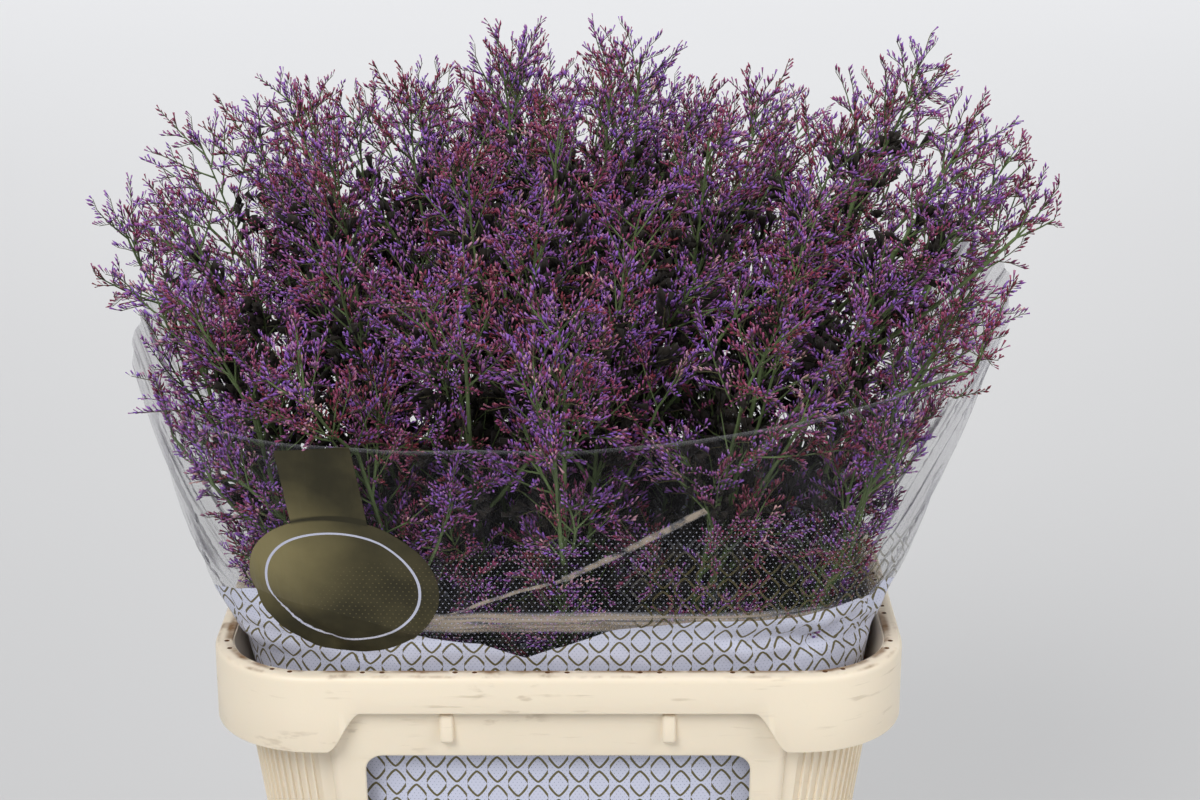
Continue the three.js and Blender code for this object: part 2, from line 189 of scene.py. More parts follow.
# The print on the film, by the way round it from the front's middle and the way up it from the rim:
# the upper edges of the white print and of the rows of dots, then the lattice, the dots and the patch.
WHITE_EDGE = (
    (-0.420, 0.040),
    (-0.370, -0.010),
    (-0.243, -0.010),
    (-0.214, 0.042),
    (-0.174, 0.053),
    (-0.127, 0.043),
    (-0.091, 0.029),
    (-0.071, 0.022),
    (-0.043, 0.018),
    (-0.018, 0.007),
    (0.001, 0.015),
    (0.035, 0.030),
    (0.079, 0.037),
    (0.137, 0.036),
    (0.175, 0.042),
    (0.214, 0.043),
    (0.243, -0.010),
    (0.370, -0.010),
    (0.420, 0.040),
)
DOT_EDGE = (
    (-0.300, 0.080),
    (-0.069, 0.087),
    (0.003, 0.101),
    (0.078, 0.114),
    (0.144, 0.1215),
    (0.210, 0.1165),
    (0.300, 0.100),
)
LATTICE_PITCH = 0.0236
LATTICE_ROW = 0.010
LATTICE_ARCH = {"half_width": 0.0057, "height": 0.0086, "drop": 0.0072, "power": 1.4}
LATTICE_STROKE = 0.0014
PIN_PITCH = 0.0024
PIN_RADIUS = 0.00028
DOT_PITCH = 0.0034
DOT_RADIUS = 0.00042
# Glints on the film: both ends of each line, then its half width.
GLINTS = (((-0.071, 0.0385, 0.004, 0.068), 0.0016), ((0.004, 0.068, 0.081, 0.117), 0.0026))
PATCH = {"centre": (-0.1195, 0.061), "half": (0.0555, 0.0500), "tilt": -0.36}
PATCH_LIGHT = (-0.158, 0.086)
PATCH_LIGHT_RADIUS = 0.055
BAND = {"centre": (-0.1262, 0.131), "half": (0.0205, 0.030), "tilt": 0.115}

# Creases of the film: both ends by way round and way up, then half width and how far they stand out.
CREASES = (
    (-0.088, 0.030, 0.005, 0.037, 0.0050, 0.0030),
    (0.005, 0.037, 0.110, 0.036, 0.0050, 0.0030),
    (0.110, 0.036, 0.186, 0.029, 0.0045, 0.0024),
    (-0.071, 0.038, 0.004, 0.068, 0.0030, 0.0022),
    (0.004, 0.068, 0.081, 0.117, 0.0030, 0.0018),
    (-0.175, 0.055, -0.110, 0.005, 0.0045, -0.0030),
    (0.098, 0.022, 0.186, 0.010, 0.0060, -0.0034),
    (0.150, 0.012, 0.215, 0.050, 0.0050, -0.0040),
    (0.186, 0.020, 0.250, 0.120, 0.0060, -0.0036),
    (-0.230, 0.010, -0.215, 0.150, 0.0060, -0.0034),
    (-0.260, 0.020, -0.250, 0.160, 0.0050, -0.0040),
)

# Colours of the finishes that no setting changes.
SCUFF_BROWN = (0.36, 0.27, 0.16, 1)
GRIME_BROWN = (0.26, 0.15, 0.07, 1)
# Painted shade inside the lip's drain holes.
HOLE_SHADE_BROWN = (0.16, 0.075, 0.03, 1)
PIN_BLUE = (0.30, 0.34, 0.47, 1)
CLEAR_GREY = (0.60, 0.60, 0.65, 1)
# Brown of the rolled film and of the painted glints.
ROLL_AND_GLINT_BROWN = (0.50, 0.42, 0.34, 1)
FLORET_FOOT = (0.040, 0.012, 0.010, 1)
TWIG_BROWN = (0.075, 0.045, 0.030, 1)
TWIG_OLIVE = (0.10, 0.085, 0.035, 1)

# A Random Value node's sockets for its lowest and highest value, and its output, for each kind.
RANDOM_SOCKETS = {"FLOAT_VECTOR": (0, 1, 0), "FLOAT": (2, 3, 1), "INT": (4, 5, 2)}

# Where the camera stood, solved from the bucket's rim in the photo.
CAMERA_PLACE = (0.024, -1.411, 0.973)
CAMERA_PITCH = math.radians(72)
CAMERA_LENS = 73.77

# The stage. Each light has its place, its aim, its size and its share of the key light's power.
# The sweep glows a little near the part and more at its wall.
SWEEP_RADIUS = 4.4
SWEEP_BEND = 1.6
SWEEP_DROP = 0.0006
LIGHTS = {
    "key": ((-1.1, -2.2, 2.6), (0, 0, 0.45), 1.6, 1.0),
    "fill": ((2.4, -1.6, 1.7), (0, 0, 0.4), 1.8, 0.45),
    "top": ((0.1, 0.5, 3.2), (0, 0, 0.4), 2.2, 0.6),
    "backdrop": ((0, 1.8, 3.0), (0, 5.2, 0), 2.5, 0.9),
}
NEAR_GLOW = (0.30, 0.30, 0.30, 1)
FAR_GLOW = (0.97, 0.98, 1.0, 1)
GLOW = 0.53
SKY = (0.93, 0.95, 1.0, 1)


def lerp(a, b, share):
    return a + (b - a) * share


def smooth(low, high, value):
    """0 below low, 1 above high, and a smooth step between them."""
    share = np.clip((value - low) / (high - low), 0, 1)
    return share * share * (3 - 2 * share)


def draw(n, series):
    """A repeatable draw from 0 to 1 for item number n of a named series."""
    wave = math.sin(n * 12.9898 + series * 78.233) * 43758.5453
    return wave - math.floor(wave)


def unit(vector):
    return vector / np.linalg.norm(vector)


# Shape rules of the bucket and the sleeve.


def body_outline(z):
    """The bucket's own outline at height z: foot to neck, then neck to mouth."""
    low = min(z / NECK_Z, 1)
    high = max((z - NECK_Z) / RIM_BAND, 0)
    return lerp(lerp(FOOT, NECK, low), MOUTH, high)


def plate_face(z):
    """How far out the flat plate on each long wall stands at height z."""
    return lerp(*PLATE_FACE, z / (BUCKET_HEIGHT - RIM_BAND_MIDDLE))


def film_half(side, z):
    """Half the sleeve's width on one of its four sides, at each height in z."""
    rim, top, power = FLARE[side]
    below = np.minimum(z, NECK_Z)
    if side in ("left", "right"):
        gap = WALL + FLUTE_DEPTH + FILM_GAP
        inside = lerp(FOOT[0], NECK[0], below / NECK_Z) - gap
    else:
        inside = plate_face(below) - WALL - FILM_GAP_AT_PLATE
    throat = lerp(inside, rim, np.clip((z - NECK_Z) / RIM_BAND, 0, 1))
    flared = rim + (top - rim) * (np.maximum(z - BUCKET_HEIGHT, 0) / FLARE_RISE) ** power
    return np.where(z > BUCKET_HEIGHT, flared, throat)


def film_radius(angle, z):
    """The sleeve's outer radius: a superellipse with its own half width on each side."""
    c, s = np.cos(angle), np.sin(angle)
    along_x = np.abs(c) / np.where(c < 0, film_half("left", z), film_half("right", z))
    along_y = np.abs(s) / np.where(s < 0, film_half("front", z), film_half("back", z))
    power = lerp(*FILM_SQUARENESS, np.clip((z - BUCKET_HEIGHT) / FLARE_RISE, 0, 1))
    return (along_x**power + along_y**power) ** (-1 / power)


def edge_rise(angle):
    """The height of the sleeve's top edge above the rim."""
    c, s = np.cos(angle), np.sin(angle)
    backwards = 0.5 + 0.5 * np.sign(s) * np.minimum(1, 2 * np.abs(s))
    middle = lerp(EDGE_RISE["front"], EDGE_RISE["back"], backwards)
    left = lerp(middle, EDGE_RISE["left"], np.abs(c) ** EDGE_TURN["left"])
    right = lerp(middle, EDGE_RISE["right"], np.abs(c) ** EDGE_TURN["right"])
    return np.where(c < 0, left, right)


def pleat(angle, share):
    """How deep the sleeve's soft pleats lie, growing from the rim to the top edge."""
    wave = 0.5 + 0.5 * np.sin(PLEATS * angle + 2 * np.sin(3 * angle))
    return PLEAT_DEPTH * share * wave


# Shape rules of the stems, which stand in the same places as in the part's source.


def stem_seat(n):
    radius = BUNDLE_FILL * math.sqrt((n + 0.5) / STEMS) * (1 - 0.06 * draw(n, 1))
    return radius, n * GOLDEN_ANGLE + 0.12 * (draw(n, 2) - 0.5)


def bundle_point(radius, angle, z):
    reach = radius * (float(film_radius(angle, z)) - FILM - BUNDLE_GAP)
    return np.array((reach * math.cos(angle), reach * math.sin(angle), z))


def crown_height(x, y):
    drop = CROWN_DROP["front" if y < 0 else "back"] * (y / CROWN_DROP["reach"]) ** 2
    return BUCKET_HEIGHT + np.interp(x, CROWN_X, CROWN_RISE) - drop


def stem_top(n):
    z = BUCKET_HEIGHT + CROWN_RISE[0]
    for _ in range(8):
        x, y, _ = bundle_point(*stem_seat(n), z)
        z = crown_height(x, y)
    return z - FAN_LENGTH + 0.024 * draw(n, 3)


class Stem:
    """One stem's seat in the bunch and the bends of its line."""

    def __init__(self, n):
        self.n = n
        self.radius, self.angle = stem_seat(n)
        self.top = stem_top(n)
        above = [lerp(BUCKET_HEIGHT, self.top, share) for share in STEM_BENDS_ABOVE_RIM]
        heights = (SEAT_Z, NECK_Z, *above)
        self.bends = np.array([bundle_point(self.radius, self.angle, z) for z in heights])
        self.seat = np.array((math.cos(self.angle), math.sin(self.angle) * CELL_ASPECT)) * self.radius

    def point(self, z):
        """The stem's point at height z, also past its top on its last straight length."""
        above = [i for i in range(1, len(self.bends)) if self.bends[i][2] > z]
        last = above[0] if above else len(self.bends) - 1
        low, high = self.bends[last - 1], self.bends[last]
        return lerp(low, high, (z - low[2]) / (high[2] - low[2]))


STALKS = [Stem(n) for n in range(STEMS)]
SEATS = np.array([stem.seat for stem in STALKS])


def in_own_cell(stem, points):
    """True where all points lie nearer to their own stem than to any other, and inside the film."""
    angle = np.arctan2(points[:, 1], points[:, 0])
    room = film_radius(angle, points[:, 2]) - FILM - BUNDLE_GAP
    radius = np.hypot(points[:, 0], points[:, 1]) / room
    below_edge = points[:, 2] < BUCKET_HEIGHT + edge_rise(angle) + 0.008
    if np.any(below_edge & (radius > 1 - PLEAT_DEPTH / room)):
        return False
    spots = np.stack((radius * np.cos(angle), radius * np.sin(angle) * CELL_ASPECT), 1)
    distance = np.linalg.norm(spots[:, None, :] - SEATS[None, :, :], axis=2)
    own = distance[:, stem.n].copy()
    distance[:, stem.n] = np.inf
    return bool(np.all(distance.min(1) > own + 2 * CELL_GAP))


def fan_outline(length):
    """The right half of a fan's outline, rib along Y, and its mirror image, without the root and the tip."""
    pitch = 0.6 * length / FAN_PAIRS
    side = []
    for i in range(FAN_PAIRS):
        y = 0.2 * length + i * pitch
        spike = SPIKE_SHARE * length * (1 - 0.16 * i)
        side.append((RIB_HALF_WIDTH, y))
        side.append((RIB_HALF_WIDTH + spike * math.sin(SPIKE_ANGLE), y + spike * math.cos(SPIKE_ANGLE)))
    side.append((RIB_HALF_WIDTH, 0.8 * length))
    return np.array(side + [(0, length)] + [(-x, y) for x, y in side])


class Fan:
    """A flowering branch: its root on the stem, its rib's direction and the flat of its spikes."""

    def __init__(self, stem, z, turn, tilt, length):
        self.root = stem.point(z)
        rise = unit(stem.point(z + 0.001) - stem.point(z - 0.001))
        outwards = np.array((math.cos(turn), math.sin(turn), 0))
        outwards = unit(outwards - rise * outwards.dot(rise))
        self.flat = np.cross(rise, outwards)
        self.rib = rise * math.cos(tilt) + outwards * math.sin(tilt)
        self.face = np.cross(self.flat, self.rib)
        self.length = length

    def reaches(self):
        outline = fan_outline(self.length)
        return self.root + outline[:, :1] * self.flat + outline[:, 1:] * self.rib


def fitted_fan(stem, z, turn, tilt):
    """The fan at one place, turned or made smaller until it is in its stem's cell, or None."""
    fit = 1.0
    while fit > SMALLEST_FIT:
        for more in TURN_TRIES:
            fan = Fan(stem, z, turn + more, tilt * fit, FAN_LENGTH * math.sqrt(fit))
            if in_own_cell(stem, fan.reaches()):
                return fan
        fit -= 0.07
    return None


def stem_fans(stem):
    """The fan that ends the stem, and those below it. Outer stems carry more of them and lower."""
    shown = min(max((stem.radius - 0.4) / 0.35, 0), 1)
    step = lerp(*FAN_STEP, shown)
    places = [(stem.top - FAN_SINK, stem.angle + draw(stem.n, 4) - 0.5, 0.25 * shown)]
    start = stem.angle + 6 * draw(stem.n, 5)
    for i in range(1, math.floor(lerp(*FANS, shown) + 0.5) + 1):
        outwards = stem.angle + (1 if i % 2 else -1) * (0.5 + draw(stem.n, 10 + i))
        places.append((stem.top - i * step, lerp(start + i * GOLDEN_ANGLE, outwards, shown), 0.66))
    fans = [fitted_fan(stem, *place) for place in places]
    return [fan for fan in fans if fan]


# Meshes.


def new_object(name, points, faces, edges=()):
    mesh = bpy.data.meshes.new(name)
    mesh.from_pydata([tuple(p) for p in points], list(edges), [tuple(f) for f in faces])
    piece = bpy.data.objects.new(name, mesh)
    bpy.context.scene.collection.objects.link(piece)
    return piece


def remove(*pieces):
    for piece in pieces:
        bpy.data.objects.remove(piece, do_unlink=True)


def loft(name, rings, capped=True, closed=False):
    """Rings of equal point count joined by four-sided faces. Closed joins the last ring to the first."""
    count = len(rings[0])
    spans = len(rings) if closed else len(rings) - 1
    faces = []
    for r in range(spans):
        low, high = r * count, ((r + 1) % len(rings)) * count
        for i in range(count):
            k = (i + 1) % count
            faces.append((low + i, low + k, high + k, high + i))
    if capped and not closed:
        faces.append(tuple(reversed(range(count))))
        faces.append(tuple(range((len(rings) - 1) * count, len(rings) * count)))
    piece = new_object(name, np.concatenate(rings), faces)
    face_outwards(piece)
    return piece


def face_outwards(piece):
    made = bmesh.new()
    made.from_mesh(piece.data)
    bmesh.ops.recalc_face_normals(made, faces=made.faces)
    made.to_mesh(piece.data)
    made.free()


def apply_modifiers(piece):
    """Replaces the piece's mesh with what its modifiers make of it."""
    depsgraph = bpy.context.evaluated_depsgraph_get()
    mesh = bpy.data.meshes.new_from_object(piece.evaluated_get(depsgraph), depsgraph=depsgraph)
    piece.modifiers.clear()
    piece.data = mesh
    return piece


def boolean(piece, operation, *tools):
    for tool in tools:
        cut = piece.modifiers.new(operation.lower(), "BOOLEAN")
        cut.operation, cut.object, cut.solver = operation, tool, "MANIFOLD"
        apply_modifiers(piece)
    remove(*tools)


def set_attribute(mesh, name, kind, values):
    attribute = mesh.attributes.new(name, kind, "POINT")
    field = "vector" if kind == "FLOAT_VECTOR" else "value"
    attribute.data.foreach_set(field, np.asarray(values, np.float32).ravel())


def finish_piece(piece, slot, *nodes):
    """Puts a finished piece on the part's one body, in place of its plain nodes."""
    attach(piece, "root")
    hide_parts(*nodes)


def noise(x, y, seed):
    """Smooth repeatable noise from 0 to 1 over a plane."""
    cell_x, cell_y = np.floor(x), np.floor(y)
    share_x, share_y = smooth(0, 1, x - cell_x), smooth(0, 1, y - cell_y)

    def corner(i, j):
        wave = np.sin((cell_x + i) * 127.1 + (cell_y + j) * 311.7 + seed * 74.7) * 43758.5453
        return wave - np.floor(wave)

    low = lerp(corner(0, 0), corner(1, 0), share_x)
    high = lerp(corner(0, 1), corner(1, 1), share_x)
    return lerp(low, high, share_y)


# Node trees.


class Value:
    """A node's output that can be used in Python expressions, each of which adds a Math node."""

    def __init__(self, tree, socket):
        self.tree, self.socket = tree, socket

    def math(self, operation, *others):
        return self.tree.math(operation, self, *others)

    def __add__(self, other):
        return self.math("ADD", other)

    def __sub__(self, other):
        return self.math("SUBTRACT", other)

    def __rsub__(self, other):
        return self.tree.math("SUBTRACT", other, self)

    def __mul__(self, other):
        return self.math("MULTIPLY", other)

    def __truediv__(self, other):
        return self.math("DIVIDE", other)

    def __pow__(self, other):
        return self.math("POWER", other)

    def __lt__(self, other):
        return self.math("LESS_THAN", other)

    def __gt__(self, other):
        return self.math("GREATER_THAN", other)

    def __abs__(self):
        return self.math("ABSOLUTE")

    __radd__ = __add__
    __rmul__ = __mul__

    def least(self, other):
        return self.math("MINIMUM", other)

    def most(self, other):
        return self.math("MAXIMUM", other)

    def clamped(self):
        return self.most(0.0).least(1.0)

    def ramp(self, low, high):
        """0 where this is below low, 1 where it is above high, and a smooth step between them."""
        settings = {"interpolation_type": "SMOOTHSTEP"}
        inputs = {"Value": self, "From Min": low, "From Max": high}
        return self.tree.add("ShaderNodeMapRange", settings, inputs)


class Tree:
    """A node tree that is built by calls."""

    def __init__(self, node_tree):
        self.nodes, self.links = node_tree.nodes, node_tree.links

    def add(self, kind, settings=None, inputs=None, output=0):
        """Adds a node, sets it, then gives its sockets their values or links.

        A list fills a socket of many links.
        """
        node = self.nodes.new(kind)
        for name, setting in (settings or {}).items():
            if name == "stops":
                set_stops(node.color_ramp, setting)
            else:
                setattr(node, name, setting)
        for key, given in (inputs or {}).items():
            for value in given if isinstance(given, list) else [given]:
                if isinstance(value, Value):
                    self.links.new(value.socket, node.inputs[key])
                else:
                    node.inputs[key].default_value = value
        return Value(self, node.outputs[output])

    def other(self, value, output):
        """Another output of the node that a value comes from."""
        return Value(self, value.socket.node.outputs[output])

    def math(self, operation, *values):
        return self.add("ShaderNodeMath", {"operation": operation}, dict(enumerate(values)))

    def vector_math(self, operation, *values):
        return self.add("ShaderNodeVectorMath", {"operation": operation}, dict(enumerate(values)))

    def scaled(self, vector, by):
        return self.add("ShaderNodeVectorMath", {"operation": "SCALE"}, {0: vector, "Scale": by})

    def mix(self, factor, a, b):
        """Colour a where factor is 0 and colour b where it is 1."""
        return self.add("ShaderNodeMix", {"data_type": "RGBA"}, {0: factor, 6: a, 7: b}, output=2)

    def parts(self, vector):
        """The three numbers of a vector."""
        first = self.add("ShaderNodeSeparateXYZ", inputs={0: vector})
        return first, self.other(first, 1), self.other(first, 2)

    def noise(self, vector, scale, detail=2.0, stretch=(1, 1, 1)):
        """Noise from 0 to 1 over a vector that is first stretched by a factor along each axis."""
        if stretch != (1, 1, 1):
            vector = self.vector_math("MULTIPLY", vector, stretch)
        return self.add("ShaderNodeTexNoise", inputs={"Vector": vector, "Scale": scale, "Detail": detail})

    def attribute(self, name):
        return self.add("ShaderNodeAttribute", {"attribute_name": name}, output="Fac")

    def object_place(self):
        return self.add("ShaderNodeTexCoord", output="Object")

    def bump(self, height, distance):
        return self.add("ShaderNodeBump", inputs={"Height": height, "Distance": distance})


def set_stops(ramp, stops):
    """Gives a colour ramp its stops, each a place and a colour."""
    while len(ramp.elements) < len(stops):
        ramp.elements.new(1.0)
    for element, (place, colour) in zip(ramp.elements, stops):
        element.position = place
        element.color = colour


def material(name, paint):
    """A material whose one shader gets the socket values and links that paint gives for its tree."""
    made = bpy.data.materials.new(name)
    made.use_nodes = True
    made.node_tree.nodes.clear()
    tree = Tree(made.node_tree)
    shader = tree.add("ShaderNodeBsdfPrincipled", inputs=paint(tree))
    output = made.node_tree.nodes.new("ShaderNodeOutputMaterial")
    made.node_tree.links.new(shader.socket, output.inputs["Surface"])
    return made


def rgba(colour, alpha=1.0):
    return (*tuple(colour)[:3], alpha)


# Bucket.


def quarter_outline(z, inset, flutes):
    """The body's outline at height z from the front's middle to the right side's, for one quarter."""
    face = plate_face(z) - inset
    half = lerp(*PLATE_HALF, min(1, z / NECK_Z)) - inset
    inwards = inset + (FLUTE_DEPTH if inset >= WALL else 0)
    half_x, half_y, corner = body_outline(z) - inwards
    points = [(x, face) for x in np.linspace(0, half - PLATE_EDGE, 7)]
    for turn in np.linspace(0, math.pi / 2, 6)[1:]:
        way_x, way_y = math.sin(turn) - 1, math.cos(turn) - 1
        points.append((half + PLATE_EDGE * way_x, face + PLATE_EDGE * way_y))
    start = math.asin(min(max((half - half_x + corner) / corner, 0), 1))
    frame_share = FLUTE_FRAME / (corner * (math.pi / 2 - start))
    panel = smooth(FLUTE_FOOT, FLUTE_FOOT + 0.003, z) * (1 - smooth(FLUTE_HEAD - 0.003, FLUTE_HEAD, z))
    depth = 0 if inset >= WALL else FLUTE_DEPTH * panel
    for across, groove in flute_steps(flutes):
        turn = lerp(start, math.pi / 2, lerp(frame_share, 1 - frame_share, across))
        radius = corner - depth * groove
        x = half_x - corner + radius * math.sin(turn)
        y = half_y - corner + radius * math.cos(turn)
        points.append((x, y))
    points += [(half_x, y) for y in np.linspace(half_y - corner, 0, 4)]
    return points


def flute_steps(flutes):
    """Places across a corner's fluted panel, each with 1 in a groove and 0 on a rib or the frame."""
    steps = [(0, 0)]
    for i in range(flutes):
        steps += [((i + place) / flutes, groove) for place, groove in FLUTE_PROFILE]
    return steps + [(1, 0)]


def body_ring(z, inset, flutes):
    """The body's whole outline at height z, counter-clockwise from the front's middle."""
    quarter = quarter_outline(z, inset, flutes)
    front_right = [(x, -y) for x, y in quarter]
    back_right = [(x, y) for x, y in reversed(quarter[:-1])]
    back_left = [(-x, y) for x, y in quarter[1:]]
    front_left = [(-x, -y) for x, y in reversed(quarter[1:-1])]
    return np.array([(x, y, z) for x, y in front_right + back_right + back_left + front_left])


def bucket_body(flutes):
    """The bucket below its rim: one wall that is fluted outside, with a floor that stands on a foot ring."""
    underside = [(0.0015, 0.0115), (0, 0.010), (0, 0.003), (0.0009, 0.0009), (0.003, 0)]
    foot = [(FLUTE_FOOT + step, 0) for step in (0, 0.001, 0.002, 0.003)]
    head = [(FLUTE_HEAD - step, 0) for step in (0.003, 0.002, 0.001, 0)]
    outside = underside + foot + [(0.12, 0), (0.24, 0)] + head + [(NECK_Z, 0), (0.3985, 0)]
    inside = [(z, WALL) for z in (0.3985, NECK_Z, 0.24, 0.12, 0.008)] + [(0.005, 0.0042), (FLOOR, 0.007)]
    return loft("body", [body_ring(z, inset, flutes) for z, inset in outside + inside])


def rim_stations():
    """Points round the rim's outline with the way out from each, close together where the skirt steps."""
    half_x, half_y, corner = RIM
    straight = half_x - corner
    long_side = np.concatenate((np.linspace(0, 0.104, 14), np.linspace(0.1065, 0.1355, 18), [straight]))
    quarter = [((x, -half_y), (0, -1)) for x in long_side[:-1]]
    for turn in np.linspace(0, math.pi / 2, 25):
        out = (math.sin(turn), -math.cos(turn))
        quarter.append(((straight + corner * out[0], -half_y + corner + corner * out[1]), out))
    quarter += [((half_x, y), (1, 0)) for y in np.linspace(-half_y + corner, 0, 5)[1:]]
    back = [((x, -y), (a, -b)) for (x, y), (a, b) in reversed(quarter[:-1])]
    right = quarter + back
    left = [((-x, y), (-a, b)) for (x, y), (a, b) in reversed(right[1:-1])]
    return right + left


def skirt_bottom(x, out):
    """The skirt stops higher over each plate, with softly curved ends."""
    over_plate = 1 - smooth(*NOTCH_EDGES, abs(x)) if abs(out[1]) > 0.99 else 0
    return NECK_Z + (RIM_BAND - RIM_BAND_MIDDLE) * over_plate


def rim_profile(bottom):
    """The lip's and skirt's section, each point by its distance in from the outline and its height."""
    top = BUCKET_HEIGHT
    middle = lerp(bottom, top, 0.5)
    lip = [(inset, top - drop) for inset, drop in LIP_SECTION]
    outside = [(0, middle), (0, bottom + 0.0014), (0.0004, bottom + 0.0004), (0.0014, bottom)]
    inside = [(0.0024, bottom + 0.0004), (SKIRT_WALL, bottom + 0.0014), (SKIRT_WALL, middle)]
    under = [(SKIRT_WALL, top - 0.004), (SKIRT_WALL + 0.001, top - 0.003)]
    return lip + outside + inside + under


def bucket_rim():
    rings = []
    for (x, y), out in rim_stations():
        section = rim_profile(skirt_bottom(x, out))
        rings.append(np.array([(x - out[0] * inset, y - out[1] * inset, z) for inset, z in section]))
    return loft("rim", rings, closed=True)


def window_outline(grow):
    """The window's rounded outline as points of x and z, made larger all round."""
    half, corner = WINDOW["half"] + grow, WINDOW["corner"] + grow
    low, high = WINDOW["bottom"] - grow, WINDOW["top"] + grow
    centres = [(half - corner, low + corner), (half - corner, high - corner)]
    centres += [(corner - half, high - corner), (corner - half, low + corner)]
    points = []
    for quarter, (x, z) in enumerate(centres):
        for turn in np.linspace(0, math.pi / 2, 9) + (quarter - 1) * math.pi / 2:
            points.append((x + corner * math.cos(turn), z + corner * math.sin(turn)))
    return points


def window_cutter(side):
    """Follows the tilted plate, so that the window's outer edge comes out rounded."""
    edge = 0.0012
    bends = [(edge * (1 - math.cos(t)), edge * (1 - math.sin(t))) for t in np.linspace(0, math.pi / 2, 5)]
    steps = [(-0.003, edge), *bends, (WALL + 0.006, 0)]
    rings = []
    for depth, grow in steps:
        outline = window_outline(grow)
        rings.append(np.array([(x, side * (plate_face(z) - depth), z) for x, z in outline]))
    return loft("window", rings)


def nib(x, side):
    """A short rounded rib on the plate, under the rim's band."""
    made = bmesh.new()
    bmesh.ops.create_cube(made, size=1)
    bmesh.ops.scale(made, vec=NIB_SIZE, verts=made.verts)
    bmesh.ops.bevel(made, geom=made.edges[:], offset=0.0022, segments=4, profile=0.5, affect="EDGES")
    bmesh.ops.translate(made, vec=(x, side * plate_face(NIB_Z), NIB_Z), verts=made.verts)
    piece = new_object("nib", [], [])
    made.to_mesh(piece.data)
    made.free()
    return piece


def hole_tree():
    """Pairs of short pins along a closed path, which cut the lip's holes."""
    group, tree, given = geometry_tree(
        "Lip holes",
        {
            "Pairs": ("Int", 24),
            "Hole Radius": ("Float", 0.0016),
            "Pair Spread": ("Float", 0.0055),
            "Finish": ("Material", None),
        },
    )
    path = tree.add("GeometryNodeMeshToCurve", inputs={0: given["Geometry"]})
    spots = tree.add("GeometryNodeCurveToPoints", {"mode": "COUNT"}, {"Curve": path, "Count": given["Pairs"]})
    turn = tree.other(spots, "Rotation")
    pin = tree.add(
        "GeometryNodeMeshCylinder",
        inputs={"Vertices": 10, "Radius": given["Hole Radius"], "Depth": HOLE_DEPTH},
    )
    pins = []
    for way in (-1, 1):
        shift = tree.add("ShaderNodeCombineXYZ", inputs={2: given["Pair Spread"] * way})
        moved = tree.add(
            "GeometryNodeTransform",
            inputs={"Geometry": pin, "Translation": shift, "Rotation": (math.pi / 2, 0, 0)},
        )
        pins.append(moved)
    pair = tree.add("GeometryNodeJoinGeometry", inputs={0: pins})
    placed = tree.add(
        "GeometryNodeInstanceOnPoints",
        inputs={"Points": spots, "Instance": pair, "Rotation": turn},
    )
    real = tree.add("GeometryNodeRealizeInstances", inputs={0: placed})
    finished = tree.add("GeometryNodeSetMaterial", inputs={0: real, "Material": given["Finish"]})
    close_tree(group, tree, finished)
    return group


def geometry_tree(name, sizes):
    """A geometry node group with a mesh coming in and going out, and named inputs with their defaults."""
    group = bpy.data.node_groups.new(name, "GeometryNodeTree")
    face = group.interface
    face.new_socket("Geometry", in_out="INPUT", socket_type="NodeSocketGeometry")
    for label, (kind, default) in sizes.items():
        socket = face.new_socket(label, in_out="INPUT", socket_type=f"NodeSocket{kind}")
        if default is not None:
            socket.default_value = default
    face.new_socket("Geometry", in_out="OUTPUT", socket_type="NodeSocketGeometry")
    tree = Tree(group)
    source = group.nodes.new("NodeGroupInput")
    given = {socket.name: Value(tree, socket) for socket in source.outputs if socket.name}
    return group, tree, given


def close_tree(group, tree, result):
    output = group.nodes.new("NodeGroupOutput")
    tree.links.new(result.socket, output.inputs[0])


def grow(piece, group, inputs):
    """Runs a geometry node group on the piece with these input values, and keeps the plain mesh it makes."""
    modifier = piece.modifiers.new(group.name, "NODES")
    modifier.node_group = group
    sockets = {item.name: item.identifier for item in group.interface.items_tree if item.in_out == "INPUT"}
    for name, value in inputs.items():
        modifier[sockets[name]] = value
    return apply_modifiers(piece)


def lip_hole_cutters(pairs, radius, finish):
    """The pins that cut the lip's holes, in pairs along its inner edge."""
    level = BUCKET_HEIGHT + 0.0003
    path = [(x - a * HOLE_PATH, y - b * HOLE_PATH, level) for (x, y), (a, b) in rim_stations()]
    edges = [(i, (i + 1) % len(path)) for i in range(len(path))]
    cutters = new_object("lip_holes", path, [], edges)
    return grow(cutters, hole_tree(), {"Pairs": pairs, "Hole Radius": radius, "Finish": finish})


